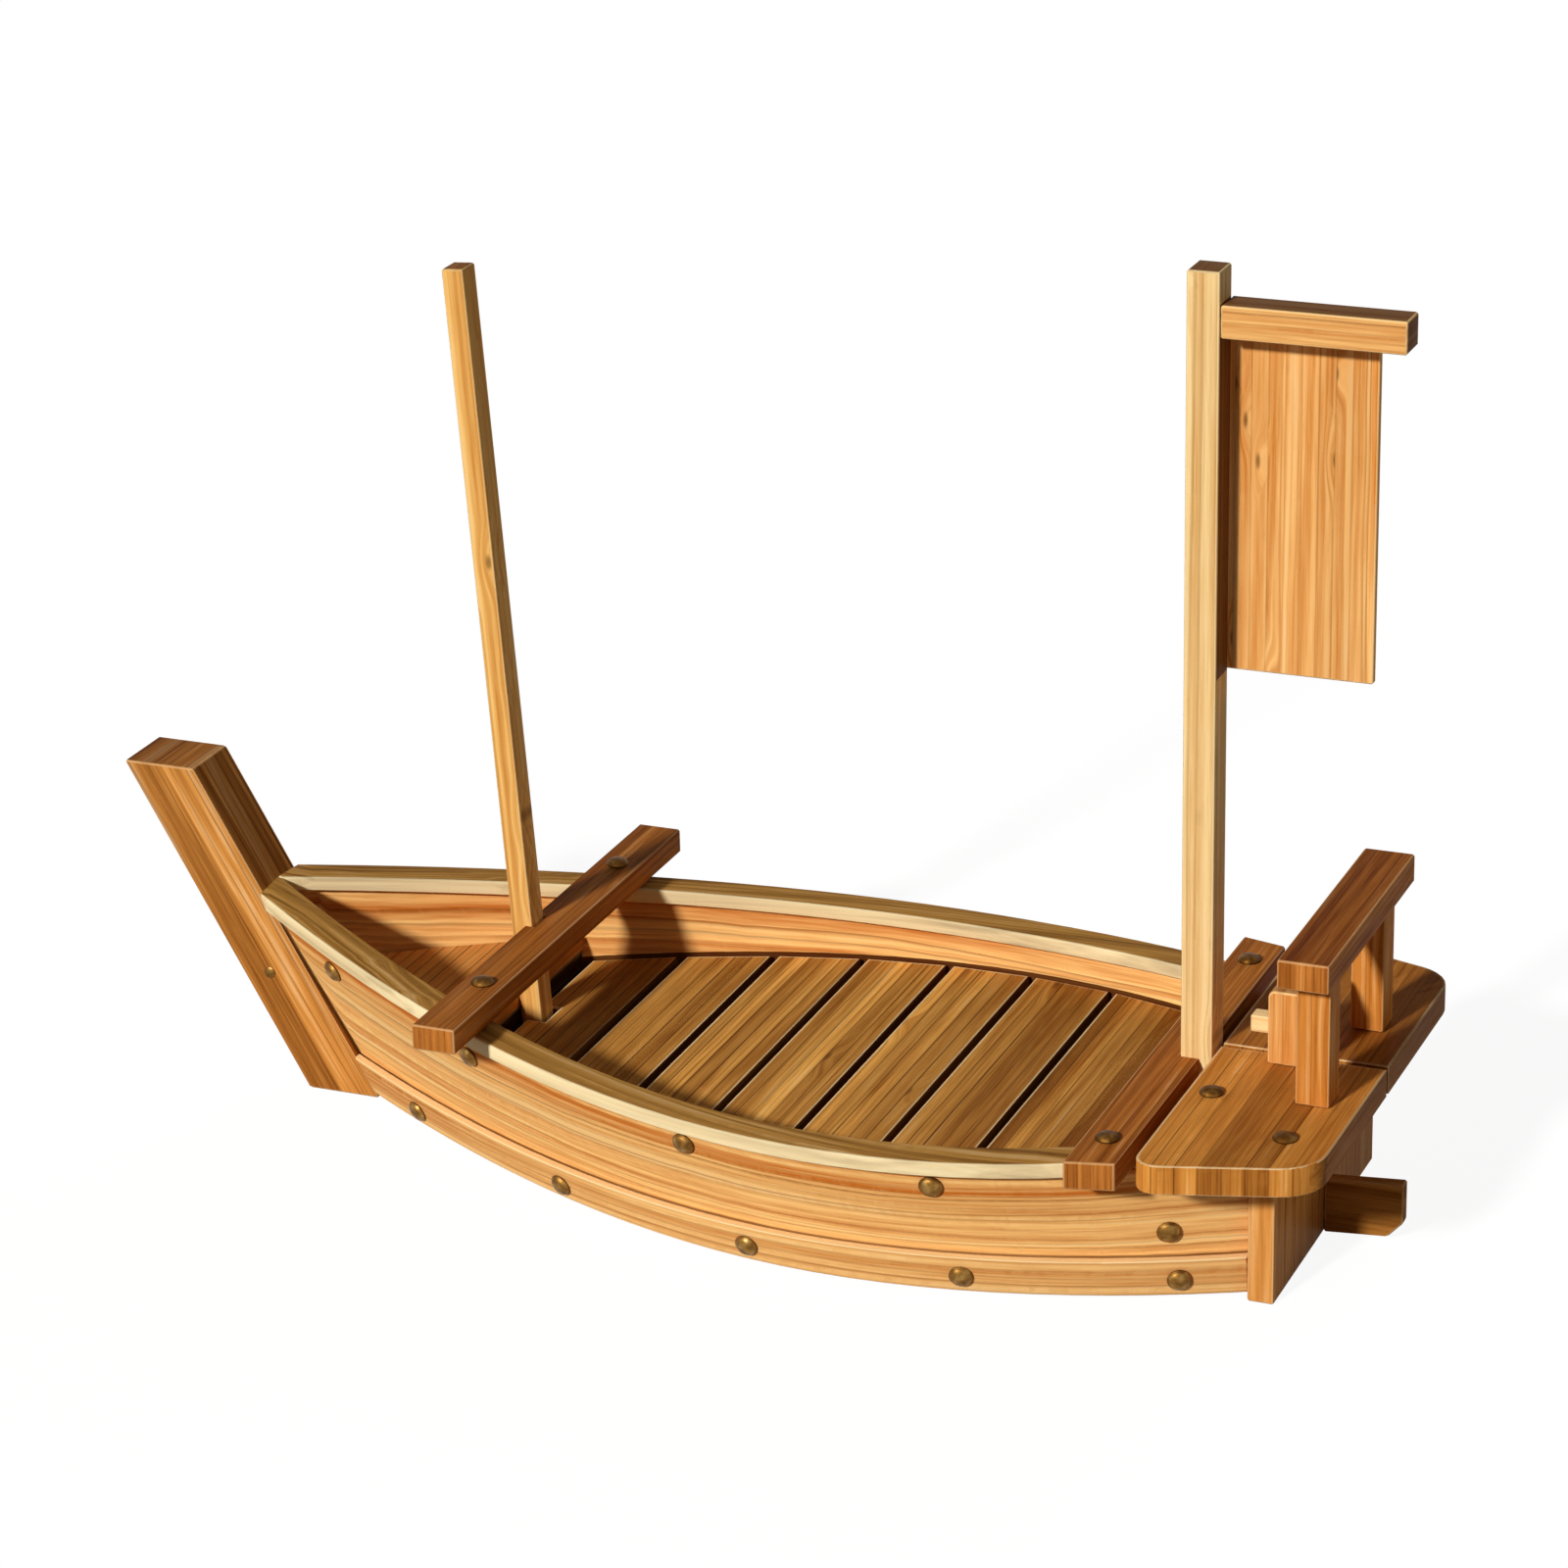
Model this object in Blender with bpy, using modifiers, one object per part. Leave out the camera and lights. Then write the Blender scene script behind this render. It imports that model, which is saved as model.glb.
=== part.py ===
"""Wooden sushi boat: a funamori serving boat built up from planks, posts and two lift-out masts.

The boat lies along X with its bow towards -X. +Y is starboard and +Z is up. It stands on the
feet of its stem and its transom at z = 0, and the origin is under the middle of its length.
"""
import math

import bmesh
import bpy
from mathutils import Matrix, Vector

# Fits
FIT = 0.0003            # gap between two glued or nailed faces
MAST_FIT = 0.0005       # play round a mast that lifts out

# Stem: a square post that rakes forward
STEM_WIDTH = 0.0326
STEM_DEPTH = 0.0354
STEM_HEIGHT = 0.1535
STEM_RAKE = math.radians(29.5)

# Hull lines, half of the hull mirrored
HULL_LENGTH = 0.4399          # foot of the stem to the front of the transom
SHEER_BEAM = 0.2652           # greatest breadth over the gunwales
BOTTOM_BEAM = 0.2342          # greatest breadth at the lower edge of the planking
SHEER_BEAM_TO_TRANSOM = 0.187
BOTTOM_BEAM_TO_TRANSOM = 0.175
ENTRY_ANGLE = math.radians(33.2)         # how fast the sides open from the stem
BOW_FLARE = 0.0024            # edge of the gunwale outside the side of the stem
SHEER_EXIT_ANGLE = math.radians(31.4)    # how fast they close towards the transom
BOTTOM_EXIT_ANGLE = math.radians(26.6)
SHEER_BEAM_AT_TRANSOM = 0.1606
BOTTOM_BEAM_AT_TRANSOM = 0.1424
SHEER_AT_BOW = 0.097
SHEER_BOW_ANGLE = math.radians(7.3)
SHEER_LOWEST = 0.0684
SHEER_LOW_TO_TRANSOM = 0.145
SHEER_AT_TRANSOM = 0.075
SHEER_TRANSOM_ANGLE = math.radians(5.2)
PLANKING_LIFT = 0.002         # lower edge of the planking above the table
HULL_STATIONS = 30

# Planking
SIDE_THICKNESS = 0.007
WALE_THICKNESS = 0.0045
WALE_TOP = 0.020
GUNWALE_WIDTH = 0.017
GUNWALE_THICKNESS = 0.007
BOTTOM_THICKNESS = 0.017
TRANSOM_BEAM = 0.1512
TRANSOM_THICKNESS = 0.0118

# Floor
FLOOR_HEIGHT = 0.048
SLAT_THICKNESS = 0.007
SLAT_WIDTH = 0.0368
SLAT_GAP = 0.0039
BEARER_WIDTH = 0.014
BEARER_HEIGHT = 0.008
BEARER_SPACING = 0.084
FOREDECK_HEIGHT = 0.0585
FOREDECK_THICKNESS = 0.006
FOREDECK_SETBACK = 0.010      # front tip of the foredeck behind the stem
BULKHEAD_THICKNESS = 0.006

# Crossbeam and front mast
CROSSBEAM_TO_STEM = 0.075     # front edge of the beam behind the foot of the stem
CROSSBEAM_LENGTH = 0.248
CROSSBEAM_WIDTH = 0.0206
CROSSBEAM_THICKNESS = 0.0118
CROSSBEAM_NOTCH = 0.0046
FRONT_MAST_DEPTH = 0.0104
FRONT_MAST_WIDTH = 0.0128
FRONT_MAST_RAKE = math.radians(3.71)
FRONT_MAST_TOP = 0.4002
STEP_NOTCH_PLAY = 0.0015      # room round the mast in the mast step
MAST_MORTISE = 0.006          # how deep the feet of both masts are let into the bottom board

# Stern deck, thwart and rear mast
DECK_LENGTH = 0.0742
DECK_OVERHANG = 0.0268        # deck past the back of the transom
DECK_THICKNESS = 0.013
DECK_FRONT_BEAM = 0.2566
DECK_BACK_BEAM = 0.2120
DECK_FRONT_ROUND = 0.009
DECK_BACK_ROUND = 0.021
DECK_SLIT = 0.003             # slit between the two halves on the centreline
REAR_MAST_DEPTH = 0.0144
REAR_MAST_WIDTH = 0.0164
REAR_MAST_TOP = 0.429
REAR_MAST_TO_DECK = 0.002
THWART_WIDTH = 0.0212
THWART_FRONT_LENGTH = 0.252
THWART_BACK_LENGTH = 0.242
THWART_THICKNESS = 0.0128
THWART_NOTCH = 0.0088

# Yard and sail board on the rear mast
YARD_LENGTH = 0.0789
YARD_HEIGHT = 0.0142
YARD_BELOW_TOP = 0.0139
SAIL_REACH = 0.0634           # sail board behind the mast
SAIL_DROP = 0.1491            # sail board below the yard
SAIL_THICKNESS = 0.004
SAIL_LAP = 0.008              # how far the board reaches up behind the yard
SAIL_TUCK = 0.012             # and forward behind the mast

# Stern rail
RAIL_SETBACK = 0.0194         # middle of the rail in front of the deck's back edge
RAIL_LENGTH = 0.1310
RAIL_WIDTH = 0.0227
RAIL_THICKNESS = 0.013
POST_SIZE = 0.015
POST_HEIGHT = 0.0592
POST_INSET = 0.0167           # outer face of a post from the end of the beam

# Rudder head with its tiller stub, and the rudder blade
HEAD_SETBACK = 0.0344         # middle of the head behind the deck's front edge
HEAD_DEPTH = 0.0204
HEAD_WIDTH = 0.026
HEAD_HEIGHT = 0.034
HEAD_CHAMFER = 0.002
TILLER_SIZE = 0.008
TILLER_REACH = 0.0105
TILLER_MORTISE = 0.006
TILLER_ABOVE_DECK = 0.0098
BLADE_LENGTH = 0.0356
BLADE_HEIGHT = 0.0256
BLADE_THICKNESS = 0.006
BLADE_LIFT = 0.0008
BLADE_RISE = math.radians(4.5)
BLADE_CHAMFER = 0.0068

# Brass nails
NAIL_DIAMETER = 0.0105
NAIL_HEIGHT = 0.0024
NAIL_SHANK_DIAMETER = 0.0024
NAIL_SHANK = 0.0055
LOWER_NAIL_SHANK = 0.0160              # through both strakes into the bottom board
# Nails along the strakes: distance along the boat and height. The first three are set out from the
# foot of the stem, the last two from the transom.
UPPER_NAILS_FROM_STEM = ((-0.0085, 0.0720), (0.0830, 0.0640), (0.2020, 0.0570))
UPPER_NAILS_FROM_TRANSOM = ((0.1252, 0.0545), (0.0314, 0.0327))
LOWER_NAIL_HEIGHT = 0.0105
LOWER_NAILS_FROM_STEM = (0.034, 0.128, 0.228)
LOWER_NAILS_FROM_TRANSOM = (0.1149, 0.0269)
BEAM_NAIL_SPACING = 0.147
THWART_NAIL_SPACING = 0.1987
DECK_NAIL_FRONT = (0.0109, 0.0497)     # behind the deck's front edge, off the centreline
DECK_NAIL_BACK = (0.0533, 0.0826)

EDGE = 0.0008           # eased edge on every plank
NAIL_SIDES = 12

# Where things stand along the boat. The overall length is centred on the origin.
STEM_RUN = STEM_HEIGHT * math.tan(STEM_RAKE)
STERN_REACH = TRANSOM_THICKNESS + max(FIT + BLADE_LENGTH, DECK_OVERHANG)
OVERALL_LENGTH = STEM_RUN + STEM_DEPTH + HULL_LENGTH + STERN_REACH
STEM_FOOT_X = -OVERALL_LENGTH / 2 + STEM_RUN + STEM_DEPTH
TRANSOM_X = STEM_FOOT_X + HULL_LENGTH
TRANSOM_BACK_X = TRANSOM_X + TRANSOM_THICKNESS
DECK_BACK_X = TRANSOM_BACK_X + DECK_OVERHANG
DECK_FRONT_X = DECK_BACK_X - DECK_LENGTH
REAR_MAST_BACK_X = DECK_FRONT_X - REAR_MAST_TO_DECK
REAR_MAST_FRONT_X = REAR_MAST_BACK_X - REAR_MAST_DEPTH
THWART_BACK_X = REAR_MAST_FRONT_X - MAST_FIT + THWART_NOTCH
THWART_FRONT_X = THWART_BACK_X - THWART_WIDTH
CROSSBEAM_FRONT_X = STEM_FOOT_X + CROSSBEAM_TO_STEM
CROSSBEAM_BACK_X = CROSSBEAM_FRONT_X + CROSSBEAM_WIDTH
RAIL_X = DECK_BACK_X - RAIL_SETBACK
HEAD_X = DECK_FRONT_X + HEAD_SETBACK


def mix(a, b, share):
    """Blend of two numbers or vectors."""
    return a + (b - a) * share


def fair_curve(x, start, end, start_slope, end_slope):
    """Height at x of the cubic that leaves start and reaches end with the given slopes."""
    run = end[0] - start[0]
    u = (x - start[0]) / run
    rise_in = u * (1 - u) ** 2 * run * start_slope
    rise_out = u * u * (u - 1) * run * end_slope
    return start[1] + (3 - 2 * u) * u * u * (end[1] - start[1]) + rise_in + rise_out


def stem_back_x(z):
    """Back face of the raked stem at a height."""
    return STEM_FOOT_X - z * math.tan(STEM_RAKE)


def half_breadth(x, z_at_stem, at_stem, beam, beam_to_transom, transom_beam, exit_angle):
    """Half breadth of one of the two lines that the side is ruled between."""
    widest = (TRANSOM_X - beam_to_transom, beam / 2)
    if x < widest[0]:
        return fair_curve(x, (stem_back_x(z_at_stem), at_stem), widest,
                          math.tan(ENTRY_ANGLE), 0.0)
    return fair_curve(x, widest, (TRANSOM_X, transom_beam / 2), 0.0, -math.tan(exit_angle))


def sheer_height(x):
    """Top of the gunwale along the boat."""
    lowest = (TRANSOM_X - SHEER_LOW_TO_TRANSOM, SHEER_LOWEST)
    if x < lowest[0]:
        return fair_curve(x, (stem_back_x(SHEER_AT_BOW), SHEER_AT_BOW), lowest,
                          -math.tan(SHEER_BOW_ANGLE), 0.0)
    return fair_curve(x, lowest, (TRANSOM_X, SHEER_AT_TRANSOM), 0.0, math.tan(SHEER_TRANSOM_ANGLE))


def bottom_line(t):
    """Lower edge of the starboard side at the share t of the way from the stem to the transom."""
    x = mix(stem_back_x(PLANKING_LIFT), TRANSOM_X, t)
    y = half_breadth(x, PLANKING_LIFT, STEM_WIDTH / 2, BOTTOM_BEAM, BOTTOM_BEAM_TO_TRANSOM,
                     BOTTOM_BEAM_AT_TRANSOM, BOTTOM_EXIT_ANGLE)
    return Vector((x, y, PLANKING_LIFT))


def sheer_line(t):
    """Underside of the gunwale's outer edge at the same share of the way."""
    x = mix(stem_back_x(SHEER_AT_BOW), TRANSOM_X, t)
    y = half_breadth(x, SHEER_AT_BOW, STEM_WIDTH / 2 + BOW_FLARE, SHEER_BEAM, SHEER_BEAM_TO_TRANSOM,
                     SHEER_BEAM_AT_TRANSOM, SHEER_EXIT_ANGLE)
    return Vector((x, y, sheer_height(x) - GUNWALE_THICKNESS))


def skin_point(t, z, inset=0.0):
    """Point of the ruled side at a height, or at its top, moved level inwards by the inset."""
    def on_skin(share):
        low = bottom_line(share)
        high = sheer_line(share)
        if z is None:
            return high
        return mix(low, high, (z - low.z) / (high.z - low.z))

    step = 0.001
    along = on_skin(t + step) - on_skin(t - step)
    inwards = Vector((along.y, -along.x, 0.0)).normalized()
    return on_skin(t) + inwards * inset


def skin_share(x, z, inset):
    """The share t at which the inset side passes x at a height."""
    low, high = -0.1, 1.1
    for _ in range(40):
        middle = (low + high) / 2
        if skin_point(middle, z, inset).x < x:
            low = middle
        else:
            high = middle
    return (low + high) / 2


SIDE_OUTSIDE = WALE_THICKNESS + FIT
SIDE_INSIDE = SIDE_OUTSIDE + SIDE_THICKNESS


def half_room(x, z):
    """Half of the clear breadth between the two sides at a station and a height."""
    return skin_point(skin_share(x, z, SIDE_INSIDE), z, SIDE_INSIDE).y


def seat_height(x, inset):
    """Height of the underside of the gunwale along a line inset from its outer edge."""
    return sheer_line(skin_share(x, None, inset)).z


# Heights that follow from the hull lines. Strakes end one fit below the gunwale's underside.
THWART_BOTTOM = seat_height(THWART_BACK_X, SIDE_INSIDE)
DECK_BOTTOM = seat_height(TRANSOM_X, SIDE_INSIDE)
DECK_TOP = DECK_BOTTOM + DECK_THICKNESS
CROSSBEAM_BOTTOM = seat_height(CROSSBEAM_FRONT_X, GUNWALE_WIDTH) + GUNWALE_THICKNESS + FIT
CROSSBEAM_TOP = CROSSBEAM_BOTTOM + CROSSBEAM_THICKNESS
SLAT_BOTTOM = FLOOR_HEIGHT - SLAT_THICKNESS
BOTTOM_TOP = PLANKING_LIFT + BOTTOM_THICKNESS
FOREDECK_BOTTOM = FOREDECK_HEIGHT - FOREDECK_THICKNESS


def front_mast_back_x(z):
    """Back face of the raked front mast, which fits the crossbeam's notch at its lower edge."""
    at_beam = CROSSBEAM_FRONT_X + CROSSBEAM_NOTCH - MAST_FIT
    return at_beam - (z - CROSSBEAM_BOTTOM) * math.tan(FRONT_MAST_RAKE)


def front_mast_front_x(z):
    return front_mast_back_x(z) - FRONT_MAST_DEPTH / math.cos(FRONT_MAST_RAKE)


FOREDECK_BACK_X = front_mast_front_x(FOREDECK_HEIGHT) - MAST_FIT


# Scene set-up
for old in list(bpy.data.objects):
    bpy.data.objects.remove(old, do_unlink=True)

boat = bpy.data.collections.new("sushi_boat")
bpy.context.scene.collection.children.link(boat)
cutters = bpy.data.collections.new("sushi_boat_cutters")
bpy.context.scene.collection.children.link(cutters)


def make_material(name, colour, roughness, metallic=0.0):
    """Principled material in one colour, given as linear red, green and blue."""
    material = bpy.data.materials.new(name)
    material.use_nodes = True
    shader = material.node_tree.nodes["Principled BSDF"]
    shader.inputs["Base Color"].default_value = (*colour, 1.0)
    shader.inputs["Roughness"].default_value = roughness
    shader.inputs["Metallic"].default_value = metallic
    return material


honey_wood = make_material("honey wood", (0.72, 0.45, 0.18), 0.5)
pale_wood = make_material("pale wood", (0.80, 0.58, 0.29), 0.5)
orange_wood = make_material("orange wood", (0.62, 0.30, 0.10), 0.5)
brown_wood = make_material("brown wood", (0.36, 0.19, 0.07), 0.5)
dark_wood = make_material("dark wood", (0.20, 0.09, 0.03), 0.55)
brass = make_material("antique brass", (0.45, 0.35, 0.17), 0.38, 1.0)


def add_part(name, data, material):
    """Object in the boat's collection with its own material."""
    data.materials.append(material)
    part = bpy.data.objects.new(name, data)
    boat.objects.link(part)
    return part


def ease_edges(part, width=EDGE):
    """Chamfer on the sharp edges."""
    bevel = part.modifiers.new("eased edges", "BEVEL")
    bevel.width = width
    bevel.segments = 1
    bevel.limit_method = "ANGLE"
    bevel.angle_limit = math.radians(40)
    return bevel


def add_block(name, size, centre, material):
    """Rectangular block of wood."""
    mesh = bpy.data.meshes.new(name)
    block = bmesh.new()
    bmesh.ops.create_cube(block, size=1.0, matrix=Matrix.Diagonal((*size, 1.0)))
    block.to_mesh(mesh)
    block.free()
    part = add_part(name, mesh, material)
    part.location = centre
    ease_edges(part)
    return part


def add_plank(name, outline, bottom, thickness, material):
    """Flat plank cut to an outline seen from above."""
    curve = bpy.data.curves.new(name, "CURVE")
    curve.dimensions = "2D"
    curve.fill_mode = "BOTH"
    curve.extrude = thickness / 2
    spline = curve.splines.new("POLY")
    spline.points.add(len(outline) - 1)
    for point, (x, y) in zip(spline.points, outline):
        point.co = (x, y, 0.0, 1.0)
    spline.use_cyclic_u = True
    part = add_part(name, curve, material)
    part.location = (0.0, 0.0, bottom + thickness / 2)
    weld = part.modifiers.new("closed caps", "WELD")
    weld.merge_threshold = 0.00001
    ease_edges(part)
    return part


def add_side_profile(name, outline, thickness, material):
    """Board cut to an outline seen from the side, standing on the centreline."""
    part = add_plank(name, outline, -thickness / 2, thickness, material)
    part.rotation_euler = (math.pi / 2, 0.0, 0.0)
    return part


def add_loft(name, rings, material, cuts=()):
    """Closed strip through a row of rings, trimmed by planes given as point and outward normal."""
    mesh = bpy.data.meshes.new(name)
    strip = bmesh.new()
    rows = [[strip.verts.new(point) for point in ring] for ring in rings]
    for row, following in zip(rows, rows[1:]):
        for side in range(len(row)):
            other = (side + 1) % len(row)
            strip.faces.new((row[side], row[other], following[other], following[side]))
    strip.faces.new(rows[0])
    strip.faces.new(rows[-1])
    for point, normal in cuts:
        everything = strip.verts[:] + strip.edges[:] + strip.faces[:]
        bmesh.ops.bisect_plane(strip, geom=everything, dist=1e-7, plane_co=point,
                               plane_no=normal, clear_outer=True)
        rim = [edge for edge in strip.edges if edge.is_boundary]
        bmesh.ops.holes_fill(strip, edges=rim, sides=0)
    bmesh.ops.recalc_face_normals(strip, faces=strip.faces[:])
    strip.to_mesh(mesh)
    strip.free()
    part = add_part(name, mesh, material)
    ease_edges(part)
    return part


def add_cutter(name, size, centre):
    """Box that only cuts."""
    mesh = bpy.data.meshes.new(name)
    block = bmesh.new()
    bmesh.ops.create_cube(block, size=1.0, matrix=Matrix.Diagonal((*size, 1.0)))
    block.to_mesh(mesh)
    block.free()
    cutter = bpy.data.objects.new(name, mesh)
    cutters.objects.link(cutter)
    cutter.location = centre
    cutter.hide_render = True
    cutter.display_type = "WIRE"
    return cutter


def cut_out(part, cutter):
    """Cut the cutter's shape out of a part."""
    hole = part.modifiers.new("cut out", "BOOLEAN")
    hole.operation = "DIFFERENCE"
    hole.solver = "EXACT"
    hole.object = cutter


def as_mesh(plank):
    """The plank's curve as a closed mesh with eased edges, ready to be cut."""
    bpy.context.view_layer.update()
    finished = plank.evaluated_get(bpy.context.evaluated_depsgraph_get())
    mesh = bpy.data.meshes.new_from_object(finished)
    welded = bmesh.new()
    welded.from_mesh(mesh)
    bmesh.ops.remove_doubles(welded, verts=welded.verts[:], dist=0.00001)
    welded.to_mesh(mesh)
    welded.free()
    name = plank.name
    place = plank.matrix_world.copy()
    bpy.data.objects.remove(plank, do_unlink=True)
    mesh.name = name
    part = bpy.data.objects.new(name, mesh)
    boat.objects.link(part)
    part.matrix_world = place
    return part


def rounded_corner(before, corner, after, radius, steps=6):
    """Points of an arc that rounds one corner of an outline."""
    corner = Vector(corner)
    to_before = (Vector(before) - corner).normalized()
    to_after = (Vector(after) - corner).normalized()
    half_angle = to_before.angle(to_after) / 2
    centre = corner + (to_before + to_after).normalized() * (radius / math.sin(half_angle))
    start = corner + to_before * (radius / math.tan(half_angle)) - centre
    turn = start.angle_signed(corner + to_after * (radius / math.tan(half_angle)) - centre)
    points = []
    for step in range(steps + 1):
        angle = -turn * step / steps
        swung = Matrix.Rotation(angle, 2) @ start
        points.append(tuple(centre + swung))
    return points


SIDES = (("port", -1), ("starboard", 1))


def mirrored(point, side):
    """The starboard point itself, or its image on the port side."""
    return Vector((point.x, point.y * side, point.z))


# Stem: square post raked forward, with level head and foot
stem_outline = [
    (STEM_FOOT_X, 0.0),
    (stem_back_x(STEM_HEIGHT), STEM_HEIGHT),
    (stem_back_x(STEM_HEIGHT) - STEM_DEPTH, STEM_HEIGHT),
    (STEM_FOOT_X - STEM_DEPTH, 0.0),
]
add_side_profile("stem", stem_outline, STEM_WIDTH, orange_wood)

# Sides: each has a full-height strake, a wale nailed over its foot and a gunwale along its top
stem_normal = Vector((-math.cos(STEM_RAKE), 0.0, -math.sin(STEM_RAKE)))
at_stem = (Vector((STEM_FOOT_X, 0.0, 0.0)) - stem_normal * FIT, stem_normal)
at_transom = (Vector((TRANSOM_X - FIT, 0.0, 0.0)), Vector((1.0, 0.0, 0.0)))
at_thwart = (Vector((THWART_FRONT_X - FIT, 0.0, 0.0)), Vector((1.0, 0.0, 0.0)))
shares = [mix(-0.06, 1.02, station / HULL_STATIONS) for station in range(HULL_STATIONS + 1)]


def strip_rings(side, outside, inside, bottom, top):
    """Rings of a strip of planking; bottom and top give the heights at a share of the length."""
    rings = []
    for t in shares:
        low, high = bottom(t), top(t)
        corners = ((low, outside), (high, outside), (high, inside), (low, inside))
        rings.append([mirrored(skin_point(t, z, inset), side) for z, inset in corners])
    return rings


upper_strakes = {}
lower_strakes = {}
for side_name, side in SIDES:
    upper_strakes[side] = add_loft(
        "upper_strake_" + side_name,
        strip_rings(side, SIDE_OUTSIDE, SIDE_INSIDE,
                    lambda t: PLANKING_LIFT, lambda t: sheer_line(t).z - FIT),
        honey_wood, (at_stem, at_transom))
    lower_strakes[side] = add_loft(
        "lower_strake_" + side_name,
        strip_rings(side, 0.0, WALE_THICKNESS, lambda t: PLANKING_LIFT, lambda t: WALE_TOP),
        orange_wood, (at_stem, at_transom))
    gunwale_rings = []
    for t in shares:
        outer = skin_point(t, None)
        inner = skin_point(t, None, GUNWALE_WIDTH)
        lift = Vector((0.0, 0.0, GUNWALE_THICKNESS))
        ring = (outer, outer + lift, inner + lift, inner)
        gunwale_rings.append([mirrored(point, side) for point in ring])
    centreline = (Vector((0.0, side * FIT / 2, 0.0)), Vector((0.0, -side, 0.0)))
    add_loft("gunwale_" + side_name, gunwale_rings, pale_wood, (at_stem, centreline, at_thwart))

# Transom and bottom board
transom_height = DECK_BOTTOM - FIT
add_block("transom", (TRANSOM_THICKNESS, TRANSOM_BEAM, transom_height),
          (TRANSOM_X + TRANSOM_THICKNESS / 2, 0.0, transom_height / 2), orange_wood)


def hull_outline(front, back, z, stations):
    """Outline of a board that fills the hull between two stations."""
    xs = [mix(front, back, station / stations) for station in range(stations + 1)]
    starboard = [(x, half_room(x, z) - FIT) for x in xs]
    return starboard + [(x, -y) for x, y in reversed(starboard)]


bottom_front = stem_back_x(PLANKING_LIFT) + STEM_WIDTH / 2
bottom_board = as_mesh(add_plank("bottom_board",
                                 hull_outline(bottom_front, TRANSOM_X - FIT, PLANKING_LIFT, 24),
                                 PLANKING_LIFT, BOTTOM_THICKNESS, brown_wood))

# Foredeck on its bulkhead
foredeck_front = stem_back_x(FOREDECK_BOTTOM) + FOREDECK_SETBACK
add_plank("foredeck", hull_outline(foredeck_front, FOREDECK_BACK_X, FOREDECK_BOTTOM, 8),
          FOREDECK_BOTTOM, FOREDECK_THICKNESS, orange_wood)
bulkhead_rings = []
for x in (FOREDECK_BACK_X - BULKHEAD_THICKNESS, FOREDECK_BACK_X):
    low, high = BOTTOM_TOP + FIT, FOREDECK_BOTTOM - FIT
    wide_low, wide_high = half_room(x, low) - FIT, half_room(x, high) - FIT
    bulkhead_rings.append([Vector((x, -wide_low, low)), Vector((x, wide_low, low)),
                           Vector((x, wide_high, high)), Vector((x, -wide_high, high))])
add_loft("front_bulkhead", bulkhead_rings, dark_wood)

# Floor bearers from the bulkhead to the transom
bearer_start = FOREDECK_BACK_X + FIT
bearer_end = TRANSOM_X - FIT
for side_name, side in SIDES:
    add_block("floor_bearer_" + side_name, (bearer_end - bearer_start, BEARER_WIDTH, BEARER_HEIGHT),
              ((bearer_start + bearer_end) / 2, side * BEARER_SPACING / 2,
               SLAT_BOTTOM - FIT - BEARER_HEIGHT / 2), dark_wood)

# Floor: the notched mast step in front, then slats and a narrow closing slat up to the rear mast
step_notch_x = front_mast_back_x(SLAT_BOTTOM) + STEP_NOTCH_PLAY
step_notch_y = FRONT_MAST_WIDTH / 2 + STEP_NOTCH_PLAY


def slat_outline(front, width=SLAT_WIDTH):
    """Slat across the boat with its ends cut to the sides."""
    return hull_outline(front, front + width, SLAT_BOTTOM, 1)


step_corners = slat_outline(CROSSBEAM_FRONT_X)
step_outline = step_corners + [
    (CROSSBEAM_FRONT_X, -step_notch_y),
    (step_notch_x, -step_notch_y),
    (step_notch_x, step_notch_y),
    (CROSSBEAM_FRONT_X, step_notch_y),
]
add_plank("mast_step_plank", step_outline, SLAT_BOTTOM, SLAT_THICKNESS, brown_wood)
pitch = SLAT_WIDTH + SLAT_GAP
floor_end = REAR_MAST_FRONT_X - MAST_FIT
slat_count = int((floor_end - CROSSBEAM_FRONT_X + SLAT_GAP) / pitch) - 1
for number in range(1, slat_count + 1):
    add_plank("floor_slat_%d" % number, slat_outline(CROSSBEAM_FRONT_X + number * pitch),
              SLAT_BOTTOM, SLAT_THICKNESS, brown_wood)
closing_front = CROSSBEAM_FRONT_X + (slat_count + 1) * pitch
closing_width = floor_end - closing_front
if closing_width > SLAT_THICKNESS:
    add_plank("closing_slat", slat_outline(closing_front, closing_width),
              SLAT_BOTTOM, SLAT_THICKNESS, brown_wood)

# Crossbeam on the gunwales, notched in front for the mast
beam_y = CROSSBEAM_LENGTH / 2
notch_y = FRONT_MAST_WIDTH / 2 + MAST_FIT
notch_x = CROSSBEAM_FRONT_X + CROSSBEAM_NOTCH
crossbeam_outline = [
    (CROSSBEAM_BACK_X, -beam_y), (CROSSBEAM_BACK_X, beam_y), (CROSSBEAM_FRONT_X, beam_y),
    (CROSSBEAM_FRONT_X, notch_y), (notch_x, notch_y), (notch_x, -notch_y),
    (CROSSBEAM_FRONT_X, -notch_y), (CROSSBEAM_FRONT_X, -beam_y),
]
crossbeam = as_mesh(add_plank("front_crossbeam", crossbeam_outline, CROSSBEAM_BOTTOM,
                              CROSSBEAM_THICKNESS, brown_wood))

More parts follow.
